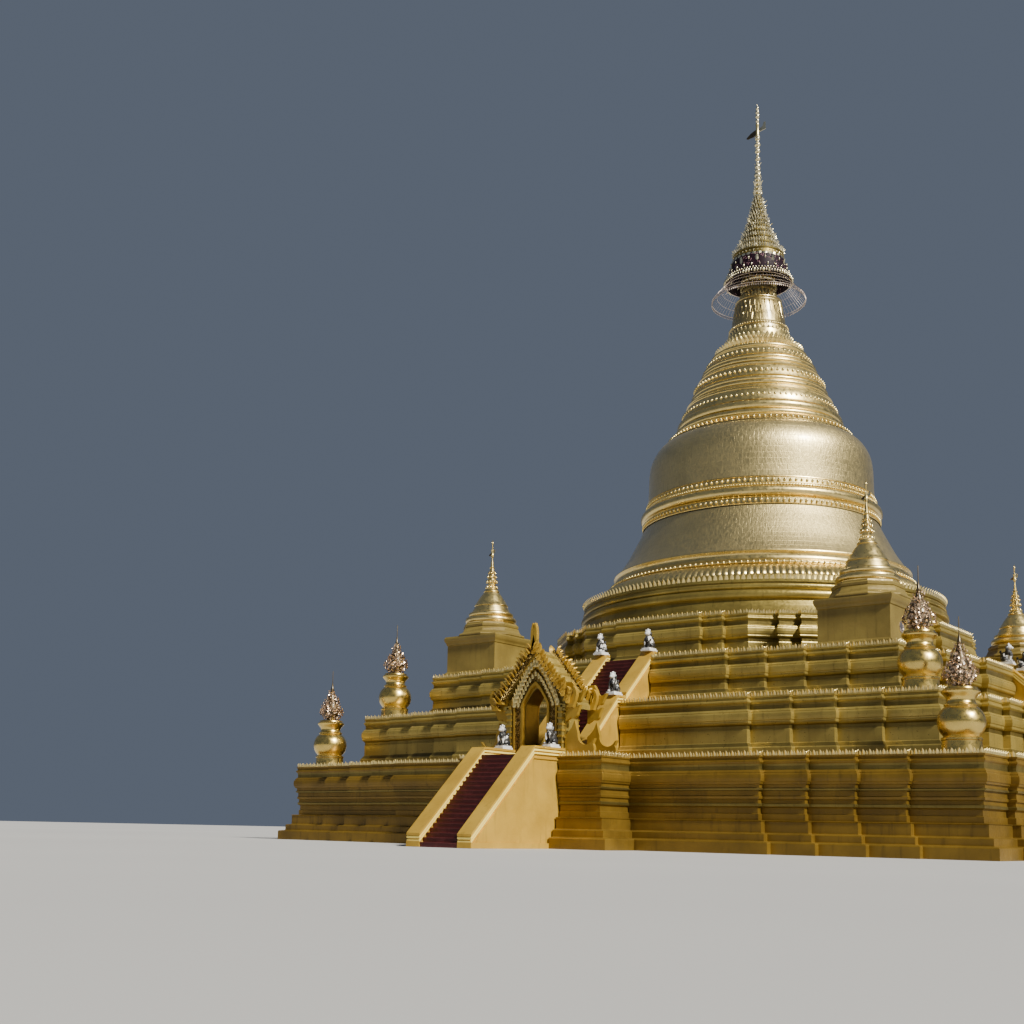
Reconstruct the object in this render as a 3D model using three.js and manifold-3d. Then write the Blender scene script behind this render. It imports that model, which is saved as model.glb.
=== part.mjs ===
// Gilded stupa on stepped terraces, as a scale model at half size (1:2).
// Driving dimensions are metres on the full-size building; mm() turns them into model millimetres.
// Origin: centre of the building on the ground. +X along the front, -Y towards the front, +Z up.
import * as THREE from "three";
import { mergeVertices } from "three/addons/utils/BufferGeometryUtils.js";
import Module from "manifold-3d";

// Scale and clearances
const MODEL_SCALE = 0.5;
const MM_PER_METRE = 1000;
const mm = (metres) => metres * MM_PER_METRE * MODEL_SCALE;
const GAP = 0.3; // mm between pieces that touch
const SIDES = 4;

// Heights of the masonry, metres above the ground
const PLINTH_TOP = 1.7;
const TERRACE_TOPS = [4.95, 8.4, 11.45];
const OCTAGON_TOP = 14.6;
const ROUND_BASE_TOP = 17.9;
const BELL_TOP = 30.35;
const RING_CONE_TOP = 38.2;
const NECK_TOP = 42.5;
const UMBRELLA_TOP = 49.6;
const BUD_TIP = 57.3;

// Terrace plans: half-widths at the corners, and how far the sides step forward to their middles
const TERRACE_HALF = [23.4, 20.2, 16.9];
const REDENT_STEP = 0.4;
const REDENT_POSITIONS = [
  [19.9, 17.45, 15.05, 12.7],
  [17.4, 15.0, 12.65, 10.35],
  [14.1, 11.75, 9.5, 7.2],
];
const BAY_HALF = 4.95;
const BAY_FRONT = 27.75;

// Octagonal terrace: distance from the axis to the straight and the slanting sides, and their steps
const OCTAGON_STRAIGHT = { apothem: 13.55, redents: [4.5, 3.1] };
const OCTAGON_SLANTED = { apothem: 13.9, redents: [3.45, 2.15] };

// Stairs: flights between terraces, measured outwards from the axis
const STAIR_HALF = 1.25;
const BALUSTRADE_OUTER = 2.15;
const COPING_ABOVE = 0.45;
const SLOT_DEPTH = 8;
const SLOT_HEIGHT = 6;
const FLIGHTS = [
  { name: "lower_stair", foot: 34.9, head: 29.9, back: 27.2, bottom: 0, top: TERRACE_TOPS[0], steps: 20 },
  {
    name: "middle_stair", foot: 25.2, head: 22.0, back: 21.2,
    bottom: TERRACE_TOPS[0], top: TERRACE_TOPS[1], steps: 14,
  },
  {
    name: "upper_stair", foot: 21.1, head: 18.1, back: 17.8,
    bottom: TERRACE_TOPS[1], top: TERRACE_TOPS[2], steps: 12,
  },
];

// Gate shrines at the heads of the lower flights
const GATE_HALF = 2.0;
const GATE_FRONT = 27.05;
const GATE_BACK = 25.7;
const GATE_ROOF_FRONT = 27.35;
const GATE_ROOF_BACK = 25.3;
const GATE_ROOF_HALF = 2.6;
const GATE_RIDGE = 11.0;
const GATE_SLOPE = 1.2; // fall of the roof for each metre outwards
const GATE_ROOF_THICKNESS = 0.4;
const ARCH_HALF = 0.8;
const ARCH_SPRING = 7.9;
const ARCH_CROWN = 8.85;

// Small stupas, jars and vanes
const CORNER_STUPA_OFFSET = 14.05;
const CORNER_PLINTH_HALF = 2.2;
const JAR_OFFSETS = [21.85, 18.75];
const VANE_HEIGHT = 54.6;
const CORNER_VANE_HEIGHT = 20.5;
const ROD_RADIUS = 0.07;
const CORNER_ROD_RADIUS = 0.04;
const COLLAR_SHARE = 2.6;

// Facets round the turned pieces, by size
const LARGE_FACETS = 32;
const MIDDLE_FACETS = 24;
const SMALL_FACETS = 16;
const FINE_FACETS = 12;

// Outline of a vane as shares of its width and height: a low tail behind the rod, a raised head in front
const VANE_OUTLINE = [
  [-0.58, 0.08], [-0.5, 0.02], [-0.2, 0.1], [0.08, 0.3], [0.42, 0.4], [0.42, 0.95], [0.33, 0.97],
  [0.26, 0.66], [-0.02, 0.52], [-0.44, 0.24],
];

// Colours
const GOLD = 0xc79a3a;
const BRIGHT_GOLD = 0xd9b45a;
const RED_STEP = 0x6b1f1c;

const wasm = await Module();
wasm.setup();

function gilded(name, geometry, color = GOLD, metalness = 0.7, roughness = 0.4) {
  const material = new THREE.MeshStandardMaterial({ color, metalness, roughness, flatShading: true });
  const mesh = new THREE.Mesh(geometry, material);
  mesh.name = name;
  return mesh;
}

// Boolean work on closed geometries
function toSolid(geometry) {
  const bare = new THREE.BufferGeometry();
  bare.setAttribute("position", geometry.getAttribute("position").clone());
  if (geometry.index) bare.setIndex(geometry.index.clone());
  const merged = mergeVertices(bare, 0.001);
  return new wasm.Manifold(new wasm.Mesh({
    numProp: 3,
    vertProperties: new Float32Array(merged.getAttribute("position").array),
    triVerts: new Uint32Array(merged.index.array),
  }));
}

function fromSolid(solid) {
  const { vertProperties, triVerts } = solid.getMesh();
  const geometry = new THREE.BufferGeometry();
  geometry.setAttribute("position", new THREE.BufferAttribute(vertProperties, 3));
  geometry.setIndex(new THREE.BufferAttribute(triVerts, 1));
  return geometry;
}

// A moulded block: one closed outline per level, walls between levels, and two flat ends
function moulded(outlineAt, levels) {
  const rings = levels.map(([height, swell]) => ({ height: mm(height), points: outlineAt(swell) }));
  const count = rings[0].points.length;
  const positions = [];
  rings.forEach(({ height, points }) => points.forEach(([x, y]) => positions.push(mm(x), mm(y), height)));
  const index = [];
  for (let level = 0; level < rings.length - 1; level += 1) {
    for (let i = 0; i < count; i += 1) {
      const next = (i + 1) % count;
      const low = level * count;
      const high = low + count;
      index.push(low + i, low + next, high + next, low + i, high + next, high + i);
    }
  }
  const flat = (ring) => THREE.ShapeUtils.triangulateShape(
    ring.points.map(([x, y]) => new THREE.Vector2(x, y)),
    [],
  );
  flat(rings[0]).forEach(([a, b, c]) => index.push(c, b, a));
  const last = (rings.length - 1) * count;
  flat(rings.at(-1)).forEach(([a, b, c]) => index.push(last + a, last + b, last + c));
  const geometry = new THREE.BufferGeometry();
  geometry.setAttribute("position", new THREE.Float32BufferAttribute(positions, 3));
  geometry.setIndex(index);
  return geometry;
}

// Plan of a stepped block: its sides in turn, each as points [along, out] from left to right
function steppedPlan(sidesAt) {
  return (swell) => {
    const sides = sidesAt(swell);
    return sides.flatMap((side, k) => {
      const turn = (2 * Math.PI * k) / sides.length;
      const [c, s] = [Math.cos(turn), Math.sin(turn)];
      return side.map(([along, out]) => [along * c + out * s, along * s - out * c]);
    });
  };
}

// One side that steps forward at each redent, mirrored about its middle, then its right-hand corner
function steppedSide(apothem, redents, swell, corner, front = []) {
  const right = front.map(([along, out]) => [along + swell, out + swell]);
  [...redents].reverse().forEach((along, i) => {
    const steps = redents.length - i;
    right.push([along + swell, apothem + steps * REDENT_STEP + swell]);
    right.push([along + swell, apothem + (steps - 1) * REDENT_STEP + swell]);
  });
  const left = right.map(([along, out]) => [-along, out]).reverse();
  return [...left, ...right, [corner, apothem + swell]];
}

function squarePlan(half, redents, bay) {
  const middle = half + redents.length * REDENT_STEP;
  const front = bay ? [[BAY_HALF, BAY_FRONT], [BAY_HALF, middle]] : [];
  return steppedPlan((swell) => {
    const side = steppedSide(half, redents, swell, half + swell, front);
    return Array(SIDES).fill(side);
  });
}

function octagonPlan() {
  return steppedPlan((swell) => {
    const straight = OCTAGON_STRAIGHT.apothem + swell;
    const slanted = OCTAGON_SLANTED.apothem + swell;
    const corners = [slanted * Math.SQRT2 - straight, straight * Math.SQRT2 - slanted];
    const pair = [OCTAGON_STRAIGHT, OCTAGON_SLANTED].map(({ apothem, redents }, i) => (
      steppedSide(apothem, redents, swell, corners[i])
    ));
    return Array(SIDES).fill(pair).flat();
  });
}

// Mouldings of a terrace: heights from its foot, then heights below its top, each with a swell
const FOOT_MOULDING = [[0, 0.14], [0.6, 0.15], [0.85, 0]];
const LOWEST_FOOT_MOULDING = [[0, -0.17], [1.1, -0.17], [1.3, -0.08]];
const CORNICE_MOULDING = [[1.55, 0], [1.35, 0.12], [0.95, 0.14], [0.7, -0.02], [0.3, 0.02], [0, 0]];

function terraceLevels(bottom, top, footMoulding = FOOT_MOULDING) {
  const foot = footMoulding.map(([height, swell]) => [bottom + height, swell]);
  const cornice = CORNICE_MOULDING.map(([drop, swell]) => [top - drop, swell]);
  foot[0][0] += GAP / mm(1);
  return [...foot, ...cornice];
}

// The stairs are let into the sides of the blocks they climb
function withoutStair(geometry, flight) {
  let solid = toSolid(geometry);
  for (let k = 0; k < SIDES; k += 1) {
    const [depth, height] = [mm(SLOT_DEPTH), mm(SLOT_HEIGHT)];
    const slot = new THREE.BoxGeometry(2 * (mm(BALUSTRADE_OUTER) + GAP), depth, height);
    slot.translate(0, GAP - mm(flight.back) - depth / 2, mm(flight.bottom) + height / 2 - GAP);
    slot.rotateZ((k * Math.PI) / 2);
    solid = solid.subtract(toSolid(slot));
  }
  return fromSolid(solid);
}

// Round pieces: profile points are [radius, height] in metres, from the axis round to the axis
function turned(profile, segments) {
  const points = profile.map(([radius, height]) => new THREE.Vector2(mm(radius), mm(height)));
  return new THREE.LatheGeometry(points, segments).rotateX(Math.PI / 2);
}

function basePlinth() {
  const plan = squarePlan(TERRACE_HALF[0], REDENT_POSITIONS[0], true);
  const levels = [[0, 0.8], [0.6, 0.8], [0.65, 0.45], [1.0, 0.45], [1.05, 0.2], [PLINTH_TOP, 0.2]];
  return gilded("base_plinth", withoutStair(moulded(plan, levels), FLIGHTS[0]));
}

function terraces() {
  const bottoms = [PLINTH_TOP, TERRACE_TOPS[0], TERRACE_TOPS[1]];
  return TERRACE_TOPS.map((top, i) => {
    const plan = squarePlan(TERRACE_HALF[i], REDENT_POSITIONS[i], i === 0);
    const footMoulding = i === 0 ? LOWEST_FOOT_MOULDING : FOOT_MOULDING;
    const block = moulded(plan, terraceLevels(bottoms[i], top, footMoulding));
    return gilded(`terrace_${i + 1}`, withoutStair(block, FLIGHTS[i]));
  });
}

function octagonTerrace() {
  const levels = terraceLevels(TERRACE_TOPS[2], OCTAGON_TOP);
  return gilded("octagon_terrace", moulded(octagonPlan(), levels));
}

function mainTower() {
  const lift = GAP / mm(1);
  const base = turned([
    [0, OCTAGON_TOP + lift], [13.05, OCTAGON_TOP + lift], [13.05, 15.5], [12.95, 16.5], [12.85, 17.2],
    [12.55, 17.25], [11.6, 17.6], [11.5, ROUND_BASE_TOP], [0, ROUND_BASE_TOP],
  ], LARGE_FACETS);
  const bell = turned([
    [0, ROUND_BASE_TOP + lift], [11.1, ROUND_BASE_TOP + lift], [10.85, 18.3], [10.95, 18.6], [10.6, 18.9],
    [10.6, 19.4], [10.1, 20.1], [9.7, 20.8], [9.15, 21.8], [8.8, 22.5], [8.5, 23.2], [8.75, 23.5],
    [8.75, 24.2], [8.35, 24.7], [8.2, 26.1], [8.15, 27.3], [7.9, 28.4], [7.5, 29.1], [6.9, 29.8],
    [6.2, BELL_TOP], [0, BELL_TOP],
  ], LARGE_FACETS);
  const cone = turned([
    [0, BELL_TOP + lift], [6.1, BELL_TOP + lift], [6.1, 30.8], [5.7, 31.6], [5.35, 32.4], [4.85, 33.4],
    [4.45, 34.2], [4.05, 35.15], [3.55, 36.05], [3.3, 36.6], [2.75, 37.0], [2.42, 37.6],
    [2.28, RING_CONE_TOP], [0, RING_CONE_TOP],
  ], LARGE_FACETS);
  const neck = turned([
    [0, RING_CONE_TOP + lift], [2.28, RING_CONE_TOP + lift], [2.1, 38.85], [1.93, 39.6], [1.72, 40.7],
    [1.7, 40.98], [1.2, 41.1], [1.2, NECK_TOP], [0, NECK_TOP],
  ], MIDDLE_FACETS);
  return [
    gilded("round_base", base),
    gilded("bell", bell, BRIGHT_GOLD, 0.8, 0.3),
    gilded("ring_cone", cone),
    gilded("lotus_neck", neck),
  ];
}

function crown() {
  const lift = GAP / mm(1);
  const umbrella = turned([
    [0, NECK_TOP + lift], [2.5, NECK_TOP + lift], [2.55, 42.8], [2.1, 44.6], [1.95, 44.8], [1.5, 45.6],
    [1.2, 46.3], [0.95, 46.95], [0.76, 47.6], [0.6, 48.3], [0.42, 49.1], [0.34, UMBRELLA_TOP],
    [0, UMBRELLA_TOP],
  ], MIDDLE_FACETS);
  const fringe = turned([
    [2.35, NECK_TOP], [2.25, NECK_TOP - 0.1], [3.35, 41.1], [3.5, 41.1], [3.5, 41.3], [2.5, NECK_TOP],
    [2.35, NECK_TOP],
  ], MIDDLE_FACETS);
  return [
    gilded("umbrella", umbrella, BRIGHT_GOLD, 0.8, 0.3),
    gilded("umbrella_fringe", fringe, BRIGHT_GOLD, 0.8, 0.3),
  ];
}

// A rod with a collar that carries a swivelling vane, and a bud above it
function finialProfile(foot, collar, tip, radius, rod) {
  const wide = rod * COLLAR_SHARE;
  return [
    [0, foot], [radius, foot], [radius * 0.7, foot + (collar - foot) * 0.5], [rod, collar - rod],
    [wide, collar - rod], [wide, collar], [rod, collar], [rod, collar + (tip - collar) * 0.5],
    [wide, collar + (tip - collar) * 0.62], [rod * 2.4, collar + (tip - collar) * 0.72], [0, tip],
  ];
}

// A vane: a sleeve round the rod with a flag through it, standing on the rod's collar
function vaneGeometry(rod, width, height) {
  const lift = GAP / mm(1);
  const inner = rod + 0.02;
  const outer = rod + 0.07;
  const sleeve = toSolid(turned([
    [inner, lift], [outer, lift], [outer, height], [inner, height], [inner, lift],
  ], SMALL_FACETS));
  const flag = new THREE.Shape(VANE_OUTLINE.map(([along, up]) => (
    new THREE.Vector2(mm(along * width), mm(up * height))
  )));
  const thickness = mm(0.03);
  const plate = new THREE.ExtrudeGeometry(flag, { depth: thickness, bevelEnabled: false });
  plate.translate(0, 0, -thickness / 2).rotateX(Math.PI / 2);
  const bore = toSolid(turned([[0, -1], [inner, -1], [inner, height + 1], [0, height + 1]], SMALL_FACETS));
  return fromSolid(sleeve.add(toSolid(plate)).subtract(bore));
}

function mainFinial() {
  const lift = GAP / mm(1);
  const profile = finialProfile(UMBRELLA_TOP + lift, VANE_HEIGHT, BUD_TIP, 0.3, ROD_RADIUS);
  const vane = gilded("vane", vaneGeometry(ROD_RADIUS, 1.65, 1.05), BRIGHT_GOLD, 0.9, 0.3);
  vane.position.z = mm(VANE_HEIGHT);
  return [gilded("finial", turned(profile, FINE_FACETS), BRIGHT_GOLD, 0.9, 0.3), vane];
}

function atCorner(mesh, k, offset) {
  const angle = (k * Math.PI) / 2;
  const [x, y] = [offset, -offset];
  mesh.position.x = mm(x * Math.cos(angle) - y * Math.sin(angle));
  mesh.position.y = mm(x * Math.sin(angle) + y * Math.cos(angle));
  return mesh;
}

function cornerStupas() {
  const lift = GAP / mm(1);
  const bottom = TERRACE_TOPS[2] + lift;
  const half = CORNER_PLINTH_HALF;
  const square = (swell) => [[1, -1], [1, 1], [-1, 1], [-1, -1]].map(([x, y]) => [
    x * (half + swell),
    y * (half + swell),
  ]);
  const plinth = toSolid(moulded(square, [
    [bottom, 0.1], [bottom + 0.4, 0.1], [bottom + 0.45, -0.05], [13.95, -0.05], [14.15, 0.12],
    [14.45, 0.12],
  ]));
  const octagon = (apothem) => Array.from({ length: 8 }, (_, i) => {
    const angle = ((i + 0.5) * Math.PI) / 4;
    const radius = apothem / Math.cos(Math.PI / 8);
    return [radius * Math.cos(angle), radius * Math.sin(angle)];
  });
  const tier = toSolid(moulded(octagon, [
    [14.4, 2.25], [14.6, 2.25], [14.75, 2.05], [15.1, 1.85], [15.3, 1.78], [15.45, 1.78],
  ]));
  const rod = CORNER_ROD_RADIUS;
  const wide = rod * COLLAR_SHARE;
  const stack = toSolid(turned([
    [0, 15.4], [1.72, 15.4], [1.76, 15.6], [1.68, 15.95], [1.42, 16.3], [1.18, 16.65], [1.02, 17.0],
    [0.86, 17.3], [0.54, 17.75], [0.4, 18.1], [0.45, 18.7], [0.28, 19.35], [rod, 20.35], [wide, 20.4],
    [wide, CORNER_VANE_HEIGHT], [rod, CORNER_VANE_HEIGHT], [rod, 21.3], [0, 21.7],
  ], SMALL_FACETS));
  const geometry = fromSolid(plinth.add(tier).add(stack));
  const pieces = [];
  for (let k = 0; k < SIDES; k += 1) {
    pieces.push(atCorner(gilded(`corner_stupa_${k + 1}`, geometry), k, CORNER_STUPA_OFFSET));
    const vane = gilded(`corner_vane_${k + 1}`, vaneGeometry(rod, 0.55, 0.45), BRIGHT_GOLD, 0.9, 0.3);
    vane.position.z = mm(CORNER_VANE_HEIGHT);
    pieces.push(atCorner(vane, k, CORNER_STUPA_OFFSET));
  }
  return pieces;
}

// Jars with a bouquet of gilded flowers, one on each corner of the two lower terraces
function flowerJars() {
  const lift = GAP / mm(1);
  const profile = [
    [0, lift], [1.0, lift], [0.98, 0.8], [0.85, 0.88], [1.1, 1.3], [1.1, 1.8], [0.85, 2.3], [0.68, 2.67],
    [0.9, 3.0], [0.78, 3.28], [0.45, 3.3], [0.78, 4.0], [0.4, 4.9], [0.1, 5.7], [0, 6.8],
  ];
  const pieces = [];
  JAR_OFFSETS.forEach((offset, level) => {
    for (let k = 0; k < SIDES; k += 1) {
      const jar = gilded(`jar_${level + 1}_${k + 1}`, turned(profile, FINE_FACETS), BRIGHT_GOLD, 0.8, 0.3);
      jar.position.z = mm(TERRACE_TOPS[level]);
      pieces.push(atCorner(jar, k, offset));
    }
  });
  return pieces;
}

// Extrudes a side view [distance out from the axis, height] between two distances along the side
function acrossSide(view, from, to) {
  const shape = new THREE.Shape(view.map(([out, height]) => new THREE.Vector2(mm(out), mm(height))));
  const geometry = new THREE.ExtrudeGeometry(shape, { depth: mm(to - from), bevelEnabled: false });
  geometry.rotateX(Math.PI / 2).rotateZ(-Math.PI / 2);
  geometry.translate(mm(to), 0, 0);
  return geometry;
}

function stairGeometry({ foot, head, back, bottom, top, steps }) {
  const base = bottom + GAP / mm(1);
  const view = [[back, base], [foot, base]];
  const rise = (top - bottom) / steps;
  const going = (foot - head) / steps;
  for (let i = 0; i < steps; i += 1) {
    view.push([foot - i * going, bottom + (i + 1) * rise]);
    if (i < steps - 1) view.push([foot - (i + 1) * going, bottom + (i + 1) * rise]);
  }
  view.push([back, top]);
  const rail = [
    [back, base], [foot, base], [foot, bottom + COPING_ABOVE + rise],
    [head, top + COPING_ABOVE], [back, top + COPING_ABOVE],
  ];
  const overlap = 0.02;
  const treads = toSolid(acrossSide(view, -STAIR_HALF - overlap, STAIR_HALF + overlap));
  const left = toSolid(acrossSide(rail, -BALUSTRADE_OUTER, -STAIR_HALF));
  const right = toSolid(acrossSide(rail, STAIR_HALF, BALUSTRADE_OUTER));
  return fromSolid(treads.add(left).add(right));
}

function gateGeometries() {
  const floor = TERRACE_TOPS[0] + GAP / mm(1);
  const under = GATE_RIDGE - GATE_ROOF_THICKNESS;
  const wallTop = under - GAP / mm(1) * 2;
  const shoulder = wallTop - GATE_HALF * GATE_SLOPE;
  const wall = new THREE.Shape([
    [-GATE_HALF, floor], [GATE_HALF, floor], [GATE_HALF, shoulder], [0, wallTop],
    [-GATE_HALF, shoulder],
  ].map(([x, z]) => new THREE.Vector2(mm(x), mm(z))));
  const arch = new THREE.Shape();
  const below = floor - 1;
  arch.moveTo(mm(-ARCH_HALF), mm(below));
  arch.lineTo(mm(ARCH_HALF), mm(below));
  arch.lineTo(mm(ARCH_HALF), mm(ARCH_SPRING));
  arch.absellipse(0, mm(ARCH_SPRING), mm(ARCH_HALF), mm(ARCH_CROWN - ARCH_SPRING), 0, Math.PI, false);
  const frontOf = (shape, front, back) => {
    const geometry = new THREE.ExtrudeGeometry(shape, {
      depth: mm(front - back),
      bevelEnabled: false,
      curveSegments: 8,
    });
    return geometry.rotateX(Math.PI / 2).translate(0, -mm(back), 0);
  };
  const solid = toSolid(frontOf(wall, GATE_FRONT, GATE_BACK));
  const walls = fromSolid(solid.subtract(toSolid(frontOf(arch, GATE_FRONT + 1, GATE_BACK - 1))));
  const eave = GATE_RIDGE - GATE_ROOF_HALF * GATE_SLOPE;
  const soffit = eave - GATE_ROOF_THICKNESS;
  const roof = new THREE.Shape([
    [GATE_ROOF_HALF, soffit], [GATE_ROOF_HALF, eave], [0, GATE_RIDGE],
    [-GATE_ROOF_HALF, eave], [-GATE_ROOF_HALF, soffit], [0, under],
  ].map(([x, z]) => new THREE.Vector2(mm(x), mm(z))));
  return [walls, frontOf(roof, GATE_ROOF_FRONT, GATE_ROOF_BACK)];
}

function sidePieces() {
  const [walls, roof] = gateGeometries();
  const flights = FLIGHTS.map((flight) => stairGeometry(flight));
  const sides = [];
  for (let k = 0; k < SIDES; k += 1) {
    const side = new THREE.Group();
    FLIGHTS.forEach(({ name }, i) => side.add(gilded(`${name}_${k + 1}`, flights[i], RED_STEP, 0, 0.7)));
    side.add(gilded(`gate_${k + 1}`, walls), gilded(`gate_roof_${k + 1}`, roof));
    side.rotation.z = (k * Math.PI) / 2;
    sides.push(side);
  }
  return sides;
}

const stupa = new THREE.Group();
stupa.add(
  basePlinth(),
  ...terraces(),
  octagonTerrace(),
  ...mainTower(),
  ...crown(),
  ...mainFinial(),
  ...cornerStupas(),
  ...flowerJars(),
  ...sidePieces(),
);

export default stupa;
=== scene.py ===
import math

import bmesh
import bpy
import numpy as np
from mathutils import Matrix, Vector


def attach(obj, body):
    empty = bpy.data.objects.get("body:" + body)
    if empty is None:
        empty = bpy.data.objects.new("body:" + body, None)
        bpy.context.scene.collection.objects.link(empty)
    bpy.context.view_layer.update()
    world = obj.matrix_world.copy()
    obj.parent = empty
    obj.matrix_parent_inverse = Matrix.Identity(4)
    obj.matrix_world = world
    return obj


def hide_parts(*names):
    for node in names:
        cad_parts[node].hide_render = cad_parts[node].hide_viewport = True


bl_info = {
    "name": "Gilded stupa",
    "version": (1, 0, 0),
    "blender": (4, 5, 0),
    "location": "3D View > Sidebar > Stupa",
    "description": "Builds the fine shapes and finishes of a gilded stupa with four stairs",
    "category": "Add Mesh",
}

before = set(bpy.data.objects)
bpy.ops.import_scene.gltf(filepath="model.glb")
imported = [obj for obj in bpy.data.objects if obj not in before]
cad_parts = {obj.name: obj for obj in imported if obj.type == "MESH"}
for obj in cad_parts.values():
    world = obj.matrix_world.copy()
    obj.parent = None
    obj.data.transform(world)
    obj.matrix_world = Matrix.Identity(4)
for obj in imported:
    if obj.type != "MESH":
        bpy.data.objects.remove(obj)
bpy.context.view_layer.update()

# Sizes in this file are metres on the full-size building; M turns them into model metres
M = 0.5
SIDES = 4
# Places of the axes in a point
X, Y, Z = range(3)

# The fixed body, and the finishes of the solids
MAIN = "stupa"
PLASTER, PLATES = "gilded_plaster", "gilded_plates"

# Gap that keeps a shape clear of the one below it
GAP = 0.002

# Heights, as in the solids
PLINTH_TOP = 1.7
TERRACE_TOPS = (4.95, 8.4, 11.45)
OCTAGON_TOP = 14.6
RING_CONE_TOP = 38.2
NECK_TOP = 42.5
UMBRELLA_TOP = 49.6
VANE_HEIGHT = 54.6
CORNER_VANE_HEIGHT = 20.5
BUD_TIP = 57.3

# Plans of the terraces, as in the solids: half width and the places where each side steps back
TERRACE_HALF = (23.4, 20.2, 16.9)
REDENTS = ((19.9, 17.45, 15.05, 12.7), (17.4, 15.0, 12.65, 10.35), (14.1, 11.75, 9.5, 7.2))
REDENT_STEP = 0.4
BAY = (4.95, 27.75)
STRAIGHT_SIDE = (13.55, (4.5, 3.1))
SLANTED_SIDE = (13.9, (3.45, 2.15))

# Stairs: foot, head and back measured out from the axis, then bottom, top and number of steps
STAIR_HALF = 1.25
BALUSTRADE_OUTER = 2.15
FLIGHTS = (
    ("lower_stair", 34.9, 29.9, 27.2, 0.0, 4.95, 20),
    ("middle_stair", 25.2, 22.0, 21.2, 4.95, 8.4, 14),
    ("upper_stair", 21.1, 18.1, 17.8, 8.4, 11.45, 12),
)

# Distance of small stupas and jars from the axis, along both plan directions
CORNER_OFFSET = 14.05
JAR_OFFSETS = (21.85, 18.75)


# Meshes
def shown(name, data):
    """An object at the origin for a mesh, camera or light."""
    made = bpy.data.objects.new(name, data)
    bpy.context.scene.collection.objects.link(made)
    return made


def soften(mesh, angle):
    """Shades a mesh smoothly, apart from edges sharper than an angle in degrees; None leaves it flat."""
    if angle is not None:
        mesh.shade_smooth()
        mesh.set_sharp_from_angle(angle=math.radians(angle))


def new_piece(name, vertices, faces, finishes=(), smooth=None, uvs=None, slots=None):
    """A mesh object with its finishes, given by name."""
    mesh = bpy.data.meshes.new(name)
    mesh.from_pydata([tuple(v) for v in vertices], [], [tuple(f) for f in faces])
    if uvs is not None:
        layer = mesh.uv_layers.new(name="UVMap")
        layer.data.foreach_set("uv", np.asarray(uvs, np.float32).ravel())
    if slots is not None:
        mesh.polygons.foreach_set("material_index", np.asarray(slots, np.int32))
    for finish in finishes:
        mesh.materials.append(finished(finish))
    soften(mesh, smooth)
    mesh.validate()
    mesh.update()
    return shown(name, mesh)


def joined(name, parts, finishes, smooth=None):
    """One piece from meshes given as (vertices, faces, slot or slots of the faces, uvs)."""
    vertices, faces, slots, uvs = [], [], [], []
    for part_vertices, part_faces, part_slots, part_uvs in parts:
        start = len(vertices)
        vertices += part_vertices
        faces += [[start + i for i in face] for face in part_faces]
        slots += part_slots if isinstance(part_slots, list) else [part_slots] * len(part_faces)
        uvs += part_uvs or [(0.0, 0.0)] * sum(map(len, part_faces))
    return new_piece(name, vertices, faces, finishes, smooth, uvs, slots)


def joined_outward(name, parts, finishes, smooth):
    """One piece from closed meshes, their faces turned outwards."""
    piece = joined(name, parts, finishes)
    work = bmesh.new()
    work.from_mesh(piece.data)
    bmesh.ops.remove_doubles(work, verts=work.verts, dist=1e-5)
    bmesh.ops.recalc_face_normals(work, faces=work.faces)
    work.to_mesh(piece.data)
    work.free()
    soften(piece.data, smooth)
    return piece


def belongs(piece, body=MAIN, nodes=()):
    """Says which body carries a piece and hides the solids it stands for."""
    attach(piece, body)
    if nodes:
        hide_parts(*nodes)


def moulded(rings, grooves=()):
    """A block through closed outlines given as (height, outline); walls in a groove take slot 1, for painted
    shade.
    """
    foot = rings[0][1]
    count = len(foot)
    vertices = [(x * M, y * M, z * M) for z, outline in rings for x, y in outline]
    along = [0.0]
    for (x0, y0), (x1, y1) in zip(foot, foot[1:] + foot[:1]):
        along.append(along[-1] + math.hypot(x1 - x0, y1 - y0) * M)
    faces, slots, uvs = [], [], []
    for level, ((low, _), (high, _)) in enumerate(zip(rings, rings[1:])):
        in_painted_shade = any(start < (low + high) / 2 < end for start, end in grooves)
        slots += [int(in_painted_shade)] * count
        a, b = level * count, (level + 1) * count
        for i in range(count):
            j = (i + 1) % count
            faces.append((a + i, a + j, b + j, b + i))
            uvs += [(along[i], low * M), (along[i + 1], low * M),
                    (along[i + 1], high * M), (along[i], high * M)]
    top = (len(rings) - 1) * count
    for face in (tuple(range(count - 1, -1, -1)), tuple(range(top, top + count))):
        faces.append(face)
        slots.append(0)
        uvs += [vertices[i][:2] for i in face]
    return vertices, faces, slots, uvs


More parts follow.
